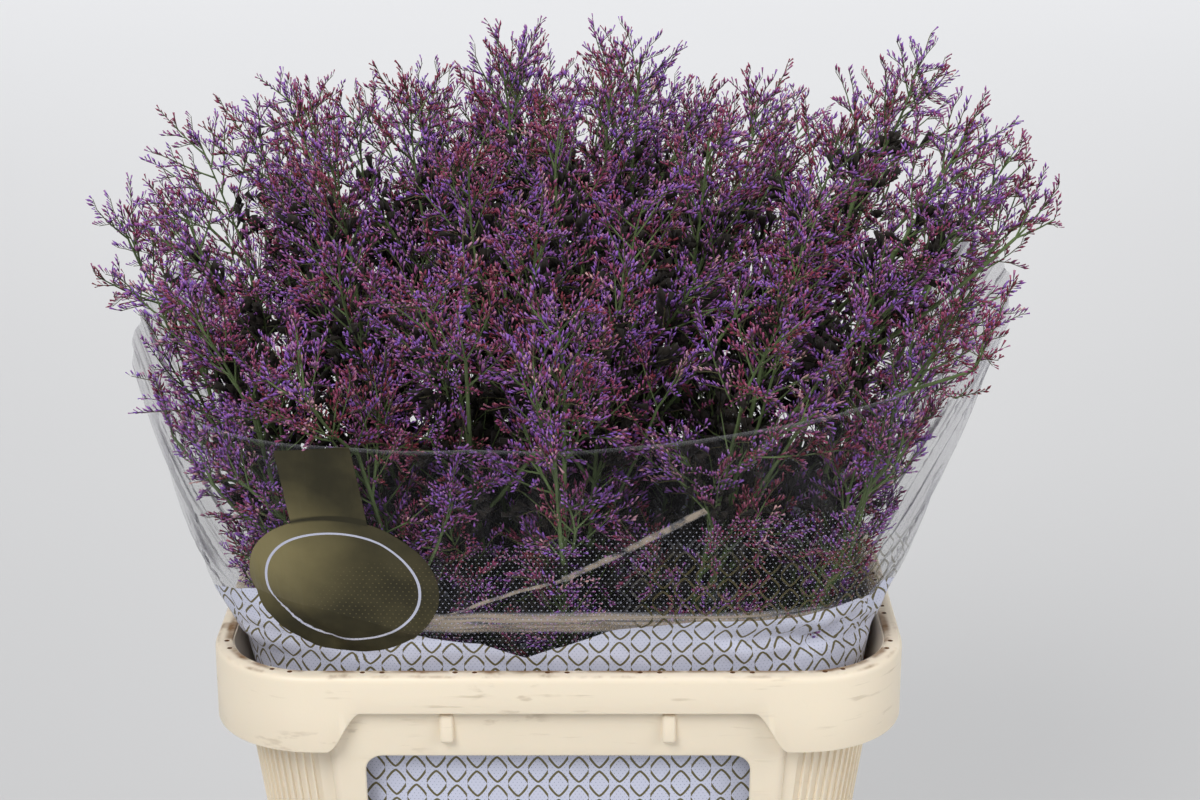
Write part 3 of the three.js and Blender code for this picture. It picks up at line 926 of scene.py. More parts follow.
def bucket_paint(settings):
    """Cream moulded plastic with grime along the lip, painted shade in the drain holes, rubbed marks and fine
    scratches.
    """

    def paint(tree):
        place = tree.object_place()
        x, y, z = tree.parts(place)
        half_x, half_y, corner = RIM
        past_x = abs(x) - (half_x - corner)
        past_y = abs(y) - (half_y - corner)
        reach = (past_x.most(0.0) ** 2 + past_y.most(0.0) ** 2) ** 0.5
        inset = corner - reach - past_x.most(past_y).least(0.0)
        cloud = tree.noise(place, 9.0, 3.0)
        fine = tree.noise(place, 420.0, 2.0)
        on_lip = z.ramp(BUCKET_HEIGHT - 0.0016, BUCKET_HEIGHT - 0.0004)
        smear = tree.noise(place, 60.0, 5.0)
        streak = tree.noise(place, 26.0, 4.0)
        inner_edge = inset.ramp(0.0046, 0.0080) * smear.ramp(0.30, 0.54)
        outer_edge = (1 - inset.ramp(0.0012, 0.0040)) * streak.ramp(0.46, 0.62) * smear.ramp(0.40, 0.58)
        grime = (inner_edge + outer_edge * 0.7 + smear.ramp(0.54, 0.68) * 0.6) * on_lip * settings.lip_grime
        # Painted shade: the shallow drain holes are painted dark brown inside.
        in_hole = (z < BUCKET_HEIGHT - 0.0002) * (z > BUCKET_HEIGHT - 0.0024) * inset.ramp(0.0050, 0.0054)
        in_hole = in_hole * (1 - inset.ramp(0.0086, 0.0089))
        high = z.ramp(NECK_Z - 0.02, BUCKET_HEIGHT - 0.005)
        rubbed = tree.noise(place, 120.0, 5.0, (0.45, 0.45, 1.5)).ramp(0.55, 0.66)
        rubbed = rubbed * tree.noise(place, 15.0, 3.0).ramp(0.50, 0.62)
        scratch = tree.noise(place, 210.0, 3.0, (0.10, 0.10, 1.0)).ramp(0.62, 0.69)
        scratch = scratch * streak.ramp(0.42, 0.56)
        marks = (rubbed * (0.15 + high * 0.6) + scratch * (0.05 + high * 0.35)) * settings.scuffs
        shaded = [c * 0.93 for c in settings.plastic_colour]
        cream = tree.mix(cloud, rgba(settings.plastic_colour), rgba(shaded))
        low_dust = (1 - z.ramp(0.0, 0.10)) * 0.25 * cloud
        worn = tree.mix((marks + low_dust).clamped(), cream, SCUFF_BROWN)
        dirty = tree.mix(grime.clamped(), worn, GRIME_BROWN)
        colour = tree.mix(in_hole, dirty, HOLE_SHADE_BROWN)
        grain = fine * 0.4 + scratch * 0.6 + cloud * 0.5
        return {
            "Base Color": colour,
            "Roughness": (0.40 + cloud * 0.10 + marks * 0.35 + grime * 0.2).clamped(),
            "Normal": tree.bump(grain, 0.00012),
            "Subsurface Weight": 0.12,
            "Subsurface Radius": (0.004, 0.003, 0.002),
            "Subsurface Scale": 1.0,
        }

    return paint


def build_bucket(settings):
    piece = bucket_rim()
    piece.name = "cream_bucket"
    nibs = [nib(x, side) for x in (-NIB_X, NIB_X) for side in (-1, 1)]
    boolean(piece, "UNION", bucket_body(settings.flutes), *nibs)
    plastic = material("Cream bucket plastic", bucket_paint(settings))
    holes = lip_hole_cutters(settings.hole_pairs, settings.hole_radius, plastic)
    boolean(piece, "DIFFERENCE", window_cutter(-1), window_cutter(1), holes)
    piece.data.shade_smooth()
    piece.data.set_sharp_from_angle(angle=SHARP_ANGLE)
    piece.data.materials.clear()
    piece.data.materials.append(plastic)
    finish_piece(piece, "bucket_plastic", "bucket")


# Sleeve.


def film_grid(around, up):
    """Angles and heights of the sleeve's mesh: up rows above the rim's level, a third as many below."""
    angle = np.linspace(-math.pi, math.pi, around, endpoint=False) - math.pi / 2
    low = np.linspace(SEAT_Z, BUCKET_HEIGHT, up // 3, endpoint=False)
    share = np.concatenate((np.zeros(up // 3), np.linspace(0, 1, up)))
    base = np.concatenate((low, np.full(up, BUCKET_HEIGHT)))
    height = base[:, None] + share[:, None] * edge_rise(angle)[None, :]
    return np.broadcast_to(angle, height.shape), height, share[:, None]


def film_lengths(radius, angle, height):
    """The way round each row from the front's middle, and the way up each column from the rim, in metres."""
    x, y = radius * np.cos(angle), radius * np.sin(angle)
    around = np.hypot(np.diff(x, axis=1), np.diff(y, axis=1))
    way = np.concatenate((np.zeros((len(x), 1)), np.cumsum(around, axis=1)), axis=1)
    way -= way[:, x.shape[1] // 2][:, None]
    step = np.sqrt(np.diff(x, axis=0) ** 2 + np.diff(y, axis=0) ** 2 + np.diff(height, axis=0) ** 2)
    rise = np.concatenate((np.zeros((1, x.shape[1])), np.cumsum(step, axis=0)), axis=0)
    rim_row = int(np.argmin(np.abs(height[:, x.shape[1] // 2] - BUCKET_HEIGHT)))
    return way, rise - rise[rim_row][None, :]


def crease_relief(way, rise):
    """How far the film's creases stand out, each a soft ridge or valley along its own line."""
    relief = np.zeros_like(way)
    for u0, v0, u1, v1, width, height in CREASES:
        run = np.array((u1 - u0, v1 - v0))
        share = np.clip(((way - u0) * run[0] + (rise - v0) * run[1]) / run.dot(run), 0, 1)
        distance = np.hypot(way - u0 - share * run[0], rise - v0 - share * run[1])
        relief += height * np.exp(-((distance / width) ** 2)) * (0.4 + 0.6 * np.sin(math.pi * share) ** 0.5)
    return relief


def film_relief(angle, way, rise, share):
    """Soft pleats, upright folds in the wings, crumpled film near the rim and the creases."""
    wing = smooth(0.72, 0.95, np.abs(np.cos(angle)))
    above = smooth(0.0, 0.02, rise)
    folds = (1 - np.abs(2 * noise(way * 70, rise * 7 + way * 20, 3) - 1)) ** 3
    crumple = (1 - np.abs(2 * noise(way * 55 + rise * 30, rise * 75, 5) - 1)) ** 2
    ripple = noise(way * 28, rise * 16, 7) - 0.5
    near_rim = np.exp(-(((rise - 0.016) / 0.020) ** 2))
    near_rim = near_rim * (0.6 + smooth(0.08, 0.14, way) - smooth(0.24, 0.30, way))
    relief = crease_relief(way, rise) * smooth(0.002, 0.012, rise)
    relief = relief - pleat(angle, share)
    relief = relief - above * folds * lerp(0.0007, 0.0030, wing)
    relief = relief - near_rim * crumple * 0.0030
    return relief + ripple * 0.0016 * above


def film_mesh(settings):
    angle, height, share = film_grid(settings.segments, settings.rows)
    radius = film_radius(angle, height)
    way, rise = film_lengths(radius, angle, height)
    radius = radius + film_relief(angle, way, rise, share) - 0.0002
    rows, count = radius.shape
    points = np.stack((radius * np.cos(angle), radius * np.sin(angle), height), axis=2).reshape(-1, 3)
    faces = []
    for r in range(rows - 1):
        for i in range(count):
            k = (i + 1) % count
            faces.append((r * count + i, r * count + k, (r + 1) * count + k, (r + 1) * count + i))
    piece = new_object("printed_sleeve", points, faces)
    paint_film_attributes(piece.data, way, rise, angle, share)
    return piece


def paint_film_attributes(mesh, way, rise, angle, share):
    """The film's own surface coordinates, how far each point lies under the print's edges, its wings, and the
    painted highlight along its top edge.
    """
    set_attribute(mesh, "white_depth", "FLOAT", np.interp(way, *zip(*WHITE_EDGE)) - rise)
    set_attribute(mesh, "dot_depth", "FLOAT", np.interp(way, *zip(*DOT_EDGE)) - rise)
    set_attribute(mesh, "wing", "FLOAT", smooth(0.80, 0.97, np.abs(np.cos(angle))))
    # A painted highlight along the sleeve's top edge.
    set_attribute(mesh, "hem", "FLOAT", np.broadcast_to(smooth(0.985, 0.999, share), way.shape))
    flat = np.stack((way.ravel(), rise.ravel()), axis=1)
    count = way.shape[1]
    layer = mesh.uv_layers.new(name="film")
    corners = np.zeros(len(mesh.loops), np.int64)
    mesh.loops.foreach_get("vertex_index", corners)
    place = wrap_seam(flat[corners], corners, count)
    layer.data.foreach_set("uv", place.astype(np.float32).ravel())


def wrap_seam(place, corners, count):
    """Moves the first column's corners to the far end in the faces that close the sleeve at the back."""
    quads = corners.reshape(-1, 4)
    closing = (quads % count == 0).any(1) & (quads % count == count - 1).any(1)
    place = place.reshape(-1, 4, 2)
    first = (quads % count == 0) & closing[:, None]
    place[..., 0] = np.where(first, -place[..., 0], place[..., 0])
    return place.reshape(-1, 2)


def lattice_mask(u, v):
    """Separate arches above and below each other, staggered into open rounded diamonds."""
    arch = LATTICE_ARCH
    mask = None
    for shift in (0, 1):
        x = (u + shift * LATTICE_PITCH / 2).math("PINGPONG", LATTICE_PITCH / 2)
        y = (v + shift * LATTICE_ROW).math("PINGPONG", LATTICE_ROW)
        across = x / arch["half_width"]
        height = arch["height"] - arch["drop"] * across ** arch["power"]
        slope = arch["power"] * arch["drop"] / arch["half_width"] * across ** (arch["power"] - 1)
        distance = abs(y - height) / (1 + slope * slope) ** 0.5
        line = (distance < LATTICE_STROKE / 2) * (x < arch["half_width"])
        mask = line if mask is None else mask.most(line)
    return mask


def dot_mask(u, v, pitch, radius):
    """Round dots in staggered rows."""
    mask = None
    for shift in (0, 1):
        x = (u + shift * pitch / 2).math("PINGPONG", pitch / 2)
        y = (v + shift * pitch * 0.866).math("PINGPONG", pitch * 0.866)
        dot = (x * x + y * y) < radius**2
        mask = dot if mask is None else mask.most(dot)
    return mask


def turned(u, v, shape):
    """Coordinates in a turned shape's own axes, each divided by its half size there."""
    c, s = math.cos(shape["tilt"]), math.sin(shape["tilt"])
    x, y = u - shape["centre"][0], v - shape["centre"][1]
    return (x * c + y * s) / shape["half"][0], (y * c - x * s) / shape["half"][1]


def film_paint(settings):
    """Clear film with painted glare streaks and painted reflection on its wings, printed white and gold, with
    rows of dots and a plain gold patch and band.
    """

    def paint(tree):
        uv = tree.add("ShaderNodeUVMap", {"uv_map": "film"})
        u, v, _ = tree.parts(uv)
        place = tree.object_place()
        white = tree.attribute("white_depth").ramp(-0.0002, 0.0002)
        dot_zone = tree.attribute("dot_depth").ramp(0.0, 0.012)
        wing = tree.attribute("wing")
        lattice = lattice_mask(u, v)
        shown = u.ramp(0.03, 0.07) * (1 - u.ramp(0.20, 0.24)) * (1 - v.ramp(0.06, 0.105))
        lattice_on_clear = lattice * shown * 0.42 * (1 - white)
        pins = dot_mask(u, v, PIN_PITCH, PIN_RADIUS) * white
        dots = dot_mask(u, v, DOT_PITCH, DOT_RADIUS) * dot_zone * (1 - white) * (1 - wing)
        patch_x, patch_y = turned(u, v, PATCH)
        oval = (patch_x * patch_x + patch_y * patch_y) ** 0.5
        band_x, band_y = turned(u, v, BAND)
        band = (abs(band_x) < 1.0) * (abs(band_y) < 1.0)
        patch = (oval < 1.0).most(band)
        ring = (abs(oval - 0.80) < 0.014) * patch
        rim_shade = band * (1 - abs(oval - 1.015).ramp(0.0, 0.05))
        gold = (lattice * white).most(lattice_on_clear).most(patch) * (1 - ring)
        streak = tree.noise(uv, 1.0, 4.0, (95, 7, 0)).ramp(0.50, 0.72)
        sheen = tree.noise(uv, 1.0, 3.0, (16, 11, 0)).ramp(0.52, 0.75)
        # Painted glare and reflection: the streaks, and the wings seen at a slant, are made milky on top of
        # the film's own slight haze.
        haze = settings.haze + streak * (0.008 + wing * 0.62) + sheen * 0.010 + wing * 0.18
        fibre = tree.noise(uv, 1.0, 3.0, (20, 330, 0))
        roll = fibre.ramp(0.25, 0.65) * band_mask(v, 0.029, 0.041)
        roll = roll * u.ramp(-0.09, -0.05) * (1 - u.ramp(0.10, 0.19))
        bend = (tree.noise(uv, 14.0, 2.0) - 0.5) * 0.012
        first, second = (line_mask(u, v + bend, ends, half_width) for ends, half_width in GLINTS)
        glint = first.most(second) * tree.noise(uv, 130.0, 2.0).ramp(0.30, 0.62)
        alpha = haze.most(roll * 0.62 * (1 - white)).most(glint * 0.55)
        # A painted highlight along the sleeve's top edge.
        alpha = alpha.most(tree.attribute("hem") * 0.09).most(white * 0.98)
        alpha = alpha.most(gold).most(ring).most(dots * 0.32).clamped()
        cloud = tree.noise(place, 45.0, 4.0)
        from_light = ((u - PATCH_LIGHT[0]) ** 2 + (v - PATCH_LIGHT[1]) ** 2) ** 0.5
        lit = (1 - from_light / PATCH_LIGHT_RADIUS).clamped() * patch
        shine = (lit * 1.1 + patch * cloud.ramp(0.3, 0.75) * 0.16 - rim_shade * 0.6).clamped()
        shine = shine.most(lattice * (1 - patch) * 0.46).most(dots * patch * 0.45)
        gold_colour = tree.mix(shine, rgba(settings.gold_colour), rgba(settings.gold_shine))
        print_white = tree.mix(pins, rgba(settings.print_colour), PIN_BLUE)
        # Brown where the film rolls over, and along the painted glints.
        clear = tree.mix(roll.most(glint).ramp(0.1, 0.5), CLEAR_GREY, ROLL_AND_GLINT_BROWN)
        printed = tree.mix(white.most(dots).most(ring), clear, print_white)
        inked = gold.ramp(0.0, 0.2)
        crinkle = tree.noise(uv, 1.0, 5.0, (160, 60, 0)) + streak * 0.6
        return {
            "Base Color": tree.mix(inked, printed, gold_colour),
            "Metallic": patch * 0.5,
            "Roughness": (0.16 + gold * 0.20 + white * 0.24).clamped(),
            "Alpha": alpha,
            "Normal": tree.bump(crinkle, 0.0004),
            "Specular IOR Level": 0.35,
        }

    return paint


def band_mask(value, low, high):
    """1 between two values, with soft ends."""
    return value.ramp(low - 0.003, low + 0.002) * (1 - value.ramp(high - 0.002, high + 0.003))


def line_mask(u, v, ends, half_width):
    """1 along a straight line between two points of the film."""
    u0, v0, u1, v1 = ends
    length = math.hypot(u1 - u0, v1 - v0)
    along_u, along_v = (u1 - u0) / length, (v1 - v0) / length
    along = (u - u0) * along_u + (v - v0) * along_v
    across = abs((v - v0) * along_u - (u - u0) * along_v)
    return (along > 0.0) * (along < length) * (1 - across.ramp(half_width * 0.4, half_width))


def build_sleeve(settings):
    piece = film_mesh(settings)
    skin = piece.modifiers.new("skin", "SOLIDIFY")
    skin.thickness, skin.offset = settings.thickness, -1
    apply_modifiers(piece)
    piece.data.shade_smooth()
    piece.data.materials.append(material("Printed clear film", film_paint(settings)))
    finish_piece(piece, "printed_film", "film_sleeve")


# Statice sprays.


class Twigs:
    """The lines of one spray, each with its radii and what it carries.

    Bloom is 1 on a comb, which carries florets on its side, 0 on a twig and -1 on the stem.
    Combs marked as painted shade carry near-black florets.
    """

    def __init__(self):
        self.points, self.edges = [], []
        self.radius, self.bloom, self.side, self.tone, self.spent = [], [], [], [], []

    def add(self, points, radii, bloom=0.0, side=(0.0, 0.0, 1.0), tone=0.5, spent=0.0):
        start = len(self.points)
        count = len(points)
        self.points.extend(points)
        self.edges.extend((start + i, start + i + 1) for i in range(count - 1))
        self.radius.extend(np.linspace(*radii, count))
        self.bloom.extend([bloom] * count)
        self.side.extend([tuple(side)] * count)
        self.tone.extend([tone] * count)
        self.spent.extend([spent] * count)

    def object(self, name):
        piece = new_object(name, kept_in_room(np.array(self.points)), [], self.edges)
        set_attribute(piece.data, "twig_radius", "FLOAT", self.radius)
        set_attribute(piece.data, "bloom", "FLOAT", self.bloom)
        set_attribute(piece.data, "tone", "FLOAT", self.tone)
        set_attribute(piece.data, "spent", "FLOAT", self.spent)
        set_attribute(piece.data, "side", "FLOAT_VECTOR", self.side)
        return piece


def kept_in_room(points):
    """Twigs press against the sleeve from inside below its top edge, and stay in the part's size above it."""
    angle = np.arctan2(points[:, 1], points[:, 0])
    edge = edge_rise(angle)
    share = np.clip((points[:, 2] - BUCKET_HEIGHT) / edge, 0, 1)
    limit = film_radius(angle, points[:, 2]) - pleat(angle, share) - FILM_ROOM
    radius = np.hypot(points[:, 0], points[:, 1])
    below = points[:, 2] < BUCKET_HEIGHT + edge
    scale = np.where(below & (radius > limit), limit / np.maximum(radius, 1e-6), 1)
    kept = points * np.stack((scale, scale, np.ones_like(scale)), axis=1)
    low, high = np.array(CAD_BOX)
    room = np.array((TIP_ROOM, TIP_ROOM, TIP_ROOM))
    return np.clip(kept, low - room * (1, 1, 0), high + room)


def add_stem(twigs, stem, dice):
    """The stem's own line, softened at its bends, with a slight sway that stays in its solid's width."""
    heights = np.linspace(SEAT_Z, stem.top, 22)
    line = np.array([stem.point(z) for z in heights])
    line[1:-1] = (line[:-2] + 2 * line[1:-1] + line[2:]) / 4
    sway = dice.uniform(-1, 1, 2)
    line[:, 0] += 0.0009 * sway[0] * np.sin(heights * 31)
    line[:, 1] += 0.0009 * sway[1] * np.cos(heights * 27)
    twigs.add(list(line), (0.0019, 0.0012), bloom=-1.0)


def any_way(dice, rise, middle=0.0, spread=math.pi):
    """A direction at this rise above the level, turned any way, or up to a spread from a middle one."""
    turn = middle + dice.uniform(-spread, spread)
    return np.array((math.cos(turn) * math.cos(rise), math.sin(turn) * math.cos(rise), math.sin(rise)))


def deep_inside(point):
    """Whether a point lies well under the crown and away from the sleeve, where little light falls."""
    x, y, z = point
    reach = math.hypot(x, y) / float(film_radius(math.atan2(y, x), z))
    return crown_height(x, y) - z > DEEP and reach < INSIDE


def add_inner_growth(twigs, stem, dice):
    """Short twigs all along the stem. Deep inside, near-black florets are painted shade that makes the bunch
    dark, and they make it full.
    """
    z = BUCKET_HEIGHT - 0.03
    while z < stem.top - 0.02:
        along = any_way(dice, dice.uniform(0.3, 1.0))
        length = dice.uniform(0.024, 0.050)
        line = [stem.point(z) + length * (along * t + UP * 0.25 * t * t) for t in (0, 0.5, 1)]
        twigs.add(line, (0.0006, 0.0003))
        deep = deep_inside(line[-1])
        tone = dice.uniform()
        for base in line[1:]:
            way = unit(along + dice.uniform(-0.8, 0.8, 3))
            side = unit(UP - way * way.dot(UP))
            # Deep inside, the comb's florets are painted near-black as painted shade.
            add_comb(twigs, dice, base, way, side, 0.015, tone, spent=1.0 if deep else 0.0)
        z += dice.uniform(0.006, 0.011)


def add_fork(twigs, stem, dice):
    """A long bare branch that leaves the stem outwards at a slant and ends in a small plume."""
    z = stem.top - dice.uniform(0.06, 0.13)
    foot = stem.point(z)
    along = any_way(dice, dice.uniform(0.60, 1.05), math.atan2(foot[1], foot[0]), 1.5)
    length = dice.uniform(0.075, 0.115)
    line = [foot + length * (along * t + UP * 0.15 * t * t) for t in (0, 0.25, 0.5, 0.75, 1)]
    twigs.add(line, (0.0014, 0.0009))
    tip = unit(line[-1] - line[-2])
    aside = unit(np.cross(tip, dice.normal(size=3)))
    for lean in (-0.55, 0, 0.55):
        way = unit(tip + aside * lean + dice.uniform(-0.2, 0.2, 3))
        add_spike(twigs, dice, line[-1], way, UP, dice.uniform(0.020, 0.032), 1.0)
    back = lerp(line[-2], line[-1], 0.3)
    add_spike(twigs, dice, back, unit(tip + aside), UP, dice.uniform(0.018, 0.028), 1.0)


def add_comb(twigs, dice, base, along, side, length, tone, spent=0.0):
    """A short curled twig that carries its florets in two close rows on one side."""
    curl = dice.uniform(0.10, 0.38)
    points = [base + length * (along * t - side * curl * t * t) for t in (0, 0.5, 1)]
    twigs.add(points, (0.00038, 0.00022), bloom=1.0, side=side, tone=tone, spent=spent)


def add_spike(twigs, dice, base, along, uplift, length, crowd):
    """A side branch that bends upwards, with combs on alternate sides and one at its end."""
    bend = dice.uniform(0.08, 0.30)
    line = [base + length * (along * t + uplift * bend * t * t) for t in (0, 0.34, 0.67, 1)]
    twigs.add(line, (0.00062, 0.00036))
    tip = unit(line[-1] - line[-2])
    tone = dice.uniform()
    across = unit(np.cross(tip, dice.normal(size=3)))
    add_comb(twigs, dice, line[-1], tip, across, dice.uniform(0.012, 0.016), tone)
    count = max(1, round(length * crowd / COMB_STEP))
    roll = dice.uniform(0, math.tau)
    for i in range(count):
        t = lerp(0.22, 0.94, (i + dice.uniform(0.2, 0.8)) / count)
        at = min(int(t * 3), 2)
        point = lerp(line[at], line[at + 1], t * 3 - at)
        forward = unit(line[at + 1] - line[at])
        turn = roll + math.pi * (i % 2) + dice.uniform(-0.8, 0.8)
        first = unit(np.cross(forward, (0.3, 0.2, 1.0)))
        lateral = first * math.cos(turn) + np.cross(forward, first) * math.sin(turn)
        angle = dice.uniform(0.50, 0.95)
        way = forward * math.cos(angle) + lateral * math.sin(angle)
        side = forward * math.sin(angle) - lateral * math.cos(angle)
        reach = lerp(0.017, 0.011, t) * dice.uniform(0.75, 1.2)
        add_comb(twigs, dice, point, way, side, reach, tone + dice.uniform(-0.25, 0.25))


def add_fan(twigs, fan, dice, crowd):
    """One flowering branch: its rib, and spikes that turn out of the fan's plane to both faces."""
    bow = dice.uniform(-0.09, 0.09, 2) * fan.length
    aside = fan.flat * bow[0] + fan.face * bow[1]

    def on_rib(t):
        return fan.root + fan.rib * (t * fan.length) + aside * math.sin(math.pi * t)

    twigs.add([on_rib(t) for t in np.linspace(0, 0.93, 7)], (0.0011, 0.0005))
    end = unit(on_rib(0.93) - on_rib(0.85))
    add_spike(twigs, dice, on_rib(0.80), end, fan.face, 0.13 * fan.length, crowd)
    for i in range(SPIKES):
        t = lerp(0.12, 0.84, (i + dice.uniform(0.2, 0.8)) / SPIKES)
        way = 1 if i % 2 else -1
        roll = dice.uniform(-1.25, 1.25)
        lateral = fan.flat * (way * math.cos(roll)) + fan.face * math.sin(roll)
        angle = SPIKE_ANGLE * dice.uniform(0.7, 1.25)
        along = fan.rib * math.cos(angle) + lateral * math.sin(angle)
        length = SPIKE_REACH * fan.length * (1 - 0.8 * (t - 0.12)) * dice.uniform(0.75, 1.0)
        add_spike(twigs, dice, on_rib(t), along, fan.rib, length, crowd)
        base = on_rib(t * 0.9)
        # Deep inside, a comb of near-black florets on the rib is painted shade.
        if deep_inside(base):
            way = unit(fan.rib + dice.uniform(-0.9, 0.9, 3))
            add_comb(twigs, dice, base, way, any_way(dice, 0.3), 0.014, 0.5, spent=1.0)


def floret_shapes():
    """Small closed florets of four or six faces, of unit length and about unit width."""
    collection = bpy.data.collections.new("florets")
    for name, shape in FLORET_SHAPES.items():
        width, mouth = shape["width"], shape["mouth"]
        points, along = [(0, 0, 0)], [0.0]
        for corner in range(3):
            turn = corner * math.tau / 3
            points.append((width * math.cos(turn), width * math.sin(turn), mouth))
            along.append(mouth)
        faces = [(0, 1 + (i + 1) % 3, 1 + i) for i in range(3)]
        if shape["tip"]:
            points.append((0, 0, shape["tip"]))
            along.append(1.0)
            faces += [(1 + i, 1 + (i + 1) % 3, 4) for i in range(3)]
        else:
            faces.append((1, 2, 3))
        piece = new_object(name, points, faces)
        bpy.context.scene.collection.objects.unlink(piece)
        collection.objects.link(piece)
        face_outwards(piece)
        piece.data.shade_smooth()
        set_attribute(piece.data, "along", "FLOAT", along)
    return collection


def spray_tree():
    """Twigs become tubes, and each comb gets florets in two rows that lean to its side."""
    group, tree, given = geometry_tree(
        "Statice spray",
        {
            "Florets": ("Collection", None),
            "Floret Length": ("Float", 0.0055),
            "Floret Width": ("Float", 0.00165),
            "Spacing": ("Float", 0.00150),
            "Lean": ("Float", 0.50),
            "Seed": ("Int", 0),
            "Twig Finish": ("Material", None),
            "Floret Finish": ("Material", None),
        },
    )
    lines = tree.add("GeometryNodeMeshToCurve", inputs={0: given["Geometry"]})
    bloom = named(tree, "bloom", "FLOAT")
    combs, others = parted(tree, lines, bloom > 0.5)
    stems, bare = parted(tree, others, bloom < -0.5)
    tubes = [tube(tree, combs, 3), tube(tree, bare, 4), tube(tree, stems, 7)]
    twigs = tree.add("GeometryNodeJoinGeometry", inputs={0: tubes})
    twigs = tree.add("GeometryNodeSetShadeSmooth", inputs={0: twigs})
    twigs = tree.add("GeometryNodeSetMaterial", inputs={0: twigs, "Material": given["Twig Finish"]})
    florets = floret_rows(tree, combs, given)
    both = tree.add("GeometryNodeJoinGeometry", inputs={0: [twigs, florets]})
    close_tree(group, tree, both)
    return group


def parted(tree, lines, chosen):
    """The chosen lines, and the others."""
    inputs = {"Geometry": lines, "Selection": chosen}
    first = tree.add("GeometryNodeSeparateGeometry", {"domain": "CURVE"}, inputs)
    return first, tree.other(first, "Inverted")


def named(tree, name, kind):
    return tree.add("GeometryNodeInputNamedAttribute", {"data_type": kind}, {"Name": name})


def tube(tree, lines, sides):
    """Lines as closed tubes of their own radius."""
    ring = tree.add("GeometryNodeCurvePrimitiveCircle", inputs={"Resolution": sides, "Radius": 1.0})
    radius = named(tree, "twig_radius", "FLOAT")
    inputs = {"Curve": lines, "Profile Curve": ring, "Scale": radius, "Fill Caps": True}
    return tree.add("GeometryNodeCurveToMesh", inputs=inputs)


def floret_rows(tree, combs, given):
    """Florets along each comb in two rows, each turned, sized and tinted by its own draw."""
    # The near-black florets of painted shade stand further apart and are larger.
    spent = named(tree, "spent", "FLOAT")
    step = given["Spacing"] * (1 + spent * 1.5)
    spots = tree.add("GeometryNodeCurveToPoints", {"mode": "LENGTH"}, {"Curve": combs, "Length": step})
    turn = floret_turn(tree, tree.other(spots, "Tangent"), given)
    seed = given["Seed"]
    size = random_value(tree, "FLOAT", 0.72, 1.18, seed + 2)
    width = size * given["Floret Width"] * (1 + spent * 3.0)
    height = size * given["Floret Length"] * (1 + spent * 1.2)
    scale = tree.add("ShaderNodeCombineXYZ", inputs={0: width, 1: width, 2: height})
    shapes = tree.add(
        "GeometryNodeCollectionInfo",
        inputs={"Collection": given["Florets"], "Separate Children": True, "Reset Children": True},
    )
    placed = tree.add(
        "GeometryNodeInstanceOnPoints",
        inputs={
            "Points": spots,
            "Instance": shapes,
            "Pick Instance": True,
            "Instance Index": random_value(tree, "INT", 0, 2, seed + 3),
            "Rotation": turn,
            "Scale": scale,
        },
    )
    tinted = tree.add(
        "GeometryNodeStoreNamedAttribute",
        {"data_type": "FLOAT", "domain": "INSTANCE"},
        {"Geometry": placed, "Name": "tint", "Value": random_value(tree, "FLOAT", 0.0, 1.0, seed + 4)},
    )
    real = tree.add("GeometryNodeRealizeInstances", inputs={0: tinted})
    return tree.add("GeometryNodeSetMaterial", inputs={0: real, "Material": given["Floret Finish"]})


def floret_turn(tree, tangent, given):
    """Florets lean from their comb's line to its side, by turns to the left and the right of it."""
    side = named(tree, "side", "FLOAT_VECTOR")
    row = tree.add("GeometryNodeInputIndex").math("MODULO", 2.0) - 0.5
    across = tree.scaled(tree.vector_math("CROSS_PRODUCT", tangent, side), row * ROW_SPREAD)
    forward = tree.scaled(tangent, given["Lean"].math("COSINE"))
    sideways = tree.scaled(side, given["Lean"].math("SINE"))
    low, high = tuple(-most for most in FLORET_JITTER), FLORET_JITTER
    jitter = random_value(tree, "FLOAT_VECTOR", low, high, given["Seed"])
    axis = forward
    for more in (sideways, across, jitter):
        axis = tree.vector_math("ADD", axis, more)
    turn = tree.add("FunctionNodeAlignRotationToVector", {"axis": "Z"}, {"Vector": axis})
    angle = random_value(tree, "FLOAT", 0.0, math.tau, given["Seed"] + 1)
    spin = tree.add("FunctionNodeAxisAngleToRotation", inputs={"Axis": (0, 0, 1), "Angle": angle})
    return tree.add("FunctionNodeRotateRotation", {"rotation_space": "LOCAL"}, {0: turn, 1: spin})


def random_value(tree, kind, low, high, seed):
    """A draw between low and high for each point."""
    low_socket, high_socket, output = RANDOM_SOCKETS[kind]
    inputs = {low_socket: low, high_socket: high, "Seed": seed}
    return tree.add("FunctionNodeRandomValue", {"data_type": kind}, inputs, output=output)


def floret_paint(settings):
    """Papery florets: each comb has its tone and each floret its tint, dark below and pale at the tip, and
    near-black as painted shade deep inside the bunch.
    """

    def paint(tree):
        along, tint, tone, spent = (tree.attribute(name) for name in ("along", "tint", "tone", "spent"))
        patch = tree.noise(tree.object_place(), 22.0, 2.0)
        mood = (tone * 0.62 + tint * 0.26 + patch.ramp(0.3, 0.7) * 0.20 - 0.04).clamped()
        stops = [
            (0.08, rgba(settings.maroon)),
            (0.30, rgba(settings.magenta)),
            (0.48, rgba(settings.purple)),
            (0.66, rgba(settings.violet)),
            (0.82, rgba(settings.purple)),
            (1.00, rgba(settings.faded)),
        ]
        body = tree.add("ShaderNodeValToRGB", {"stops": stops}, {"Fac": mood})
        foot = 1 - along.ramp(0.15, 0.70)
        shaded = tree.mix(foot * 0.9, body, FLORET_FOOT)
        tip = along.ramp(0.62, 0.95) * tint.ramp(0.45, 0.7) * 0.35
        fresh = tree.mix(tip, shaded, rgba(settings.faded))
        return {
            # Near-black painted shade on the florets deep inside the bunch.
            "Base Color": tree.mix(spent, fresh, rgba(settings.painted_shade_colour)),
            "Roughness": 0.72,
            "Sheen Weight": 0.05,
            "Specular IOR Level": 0.15,
        }

    return paint


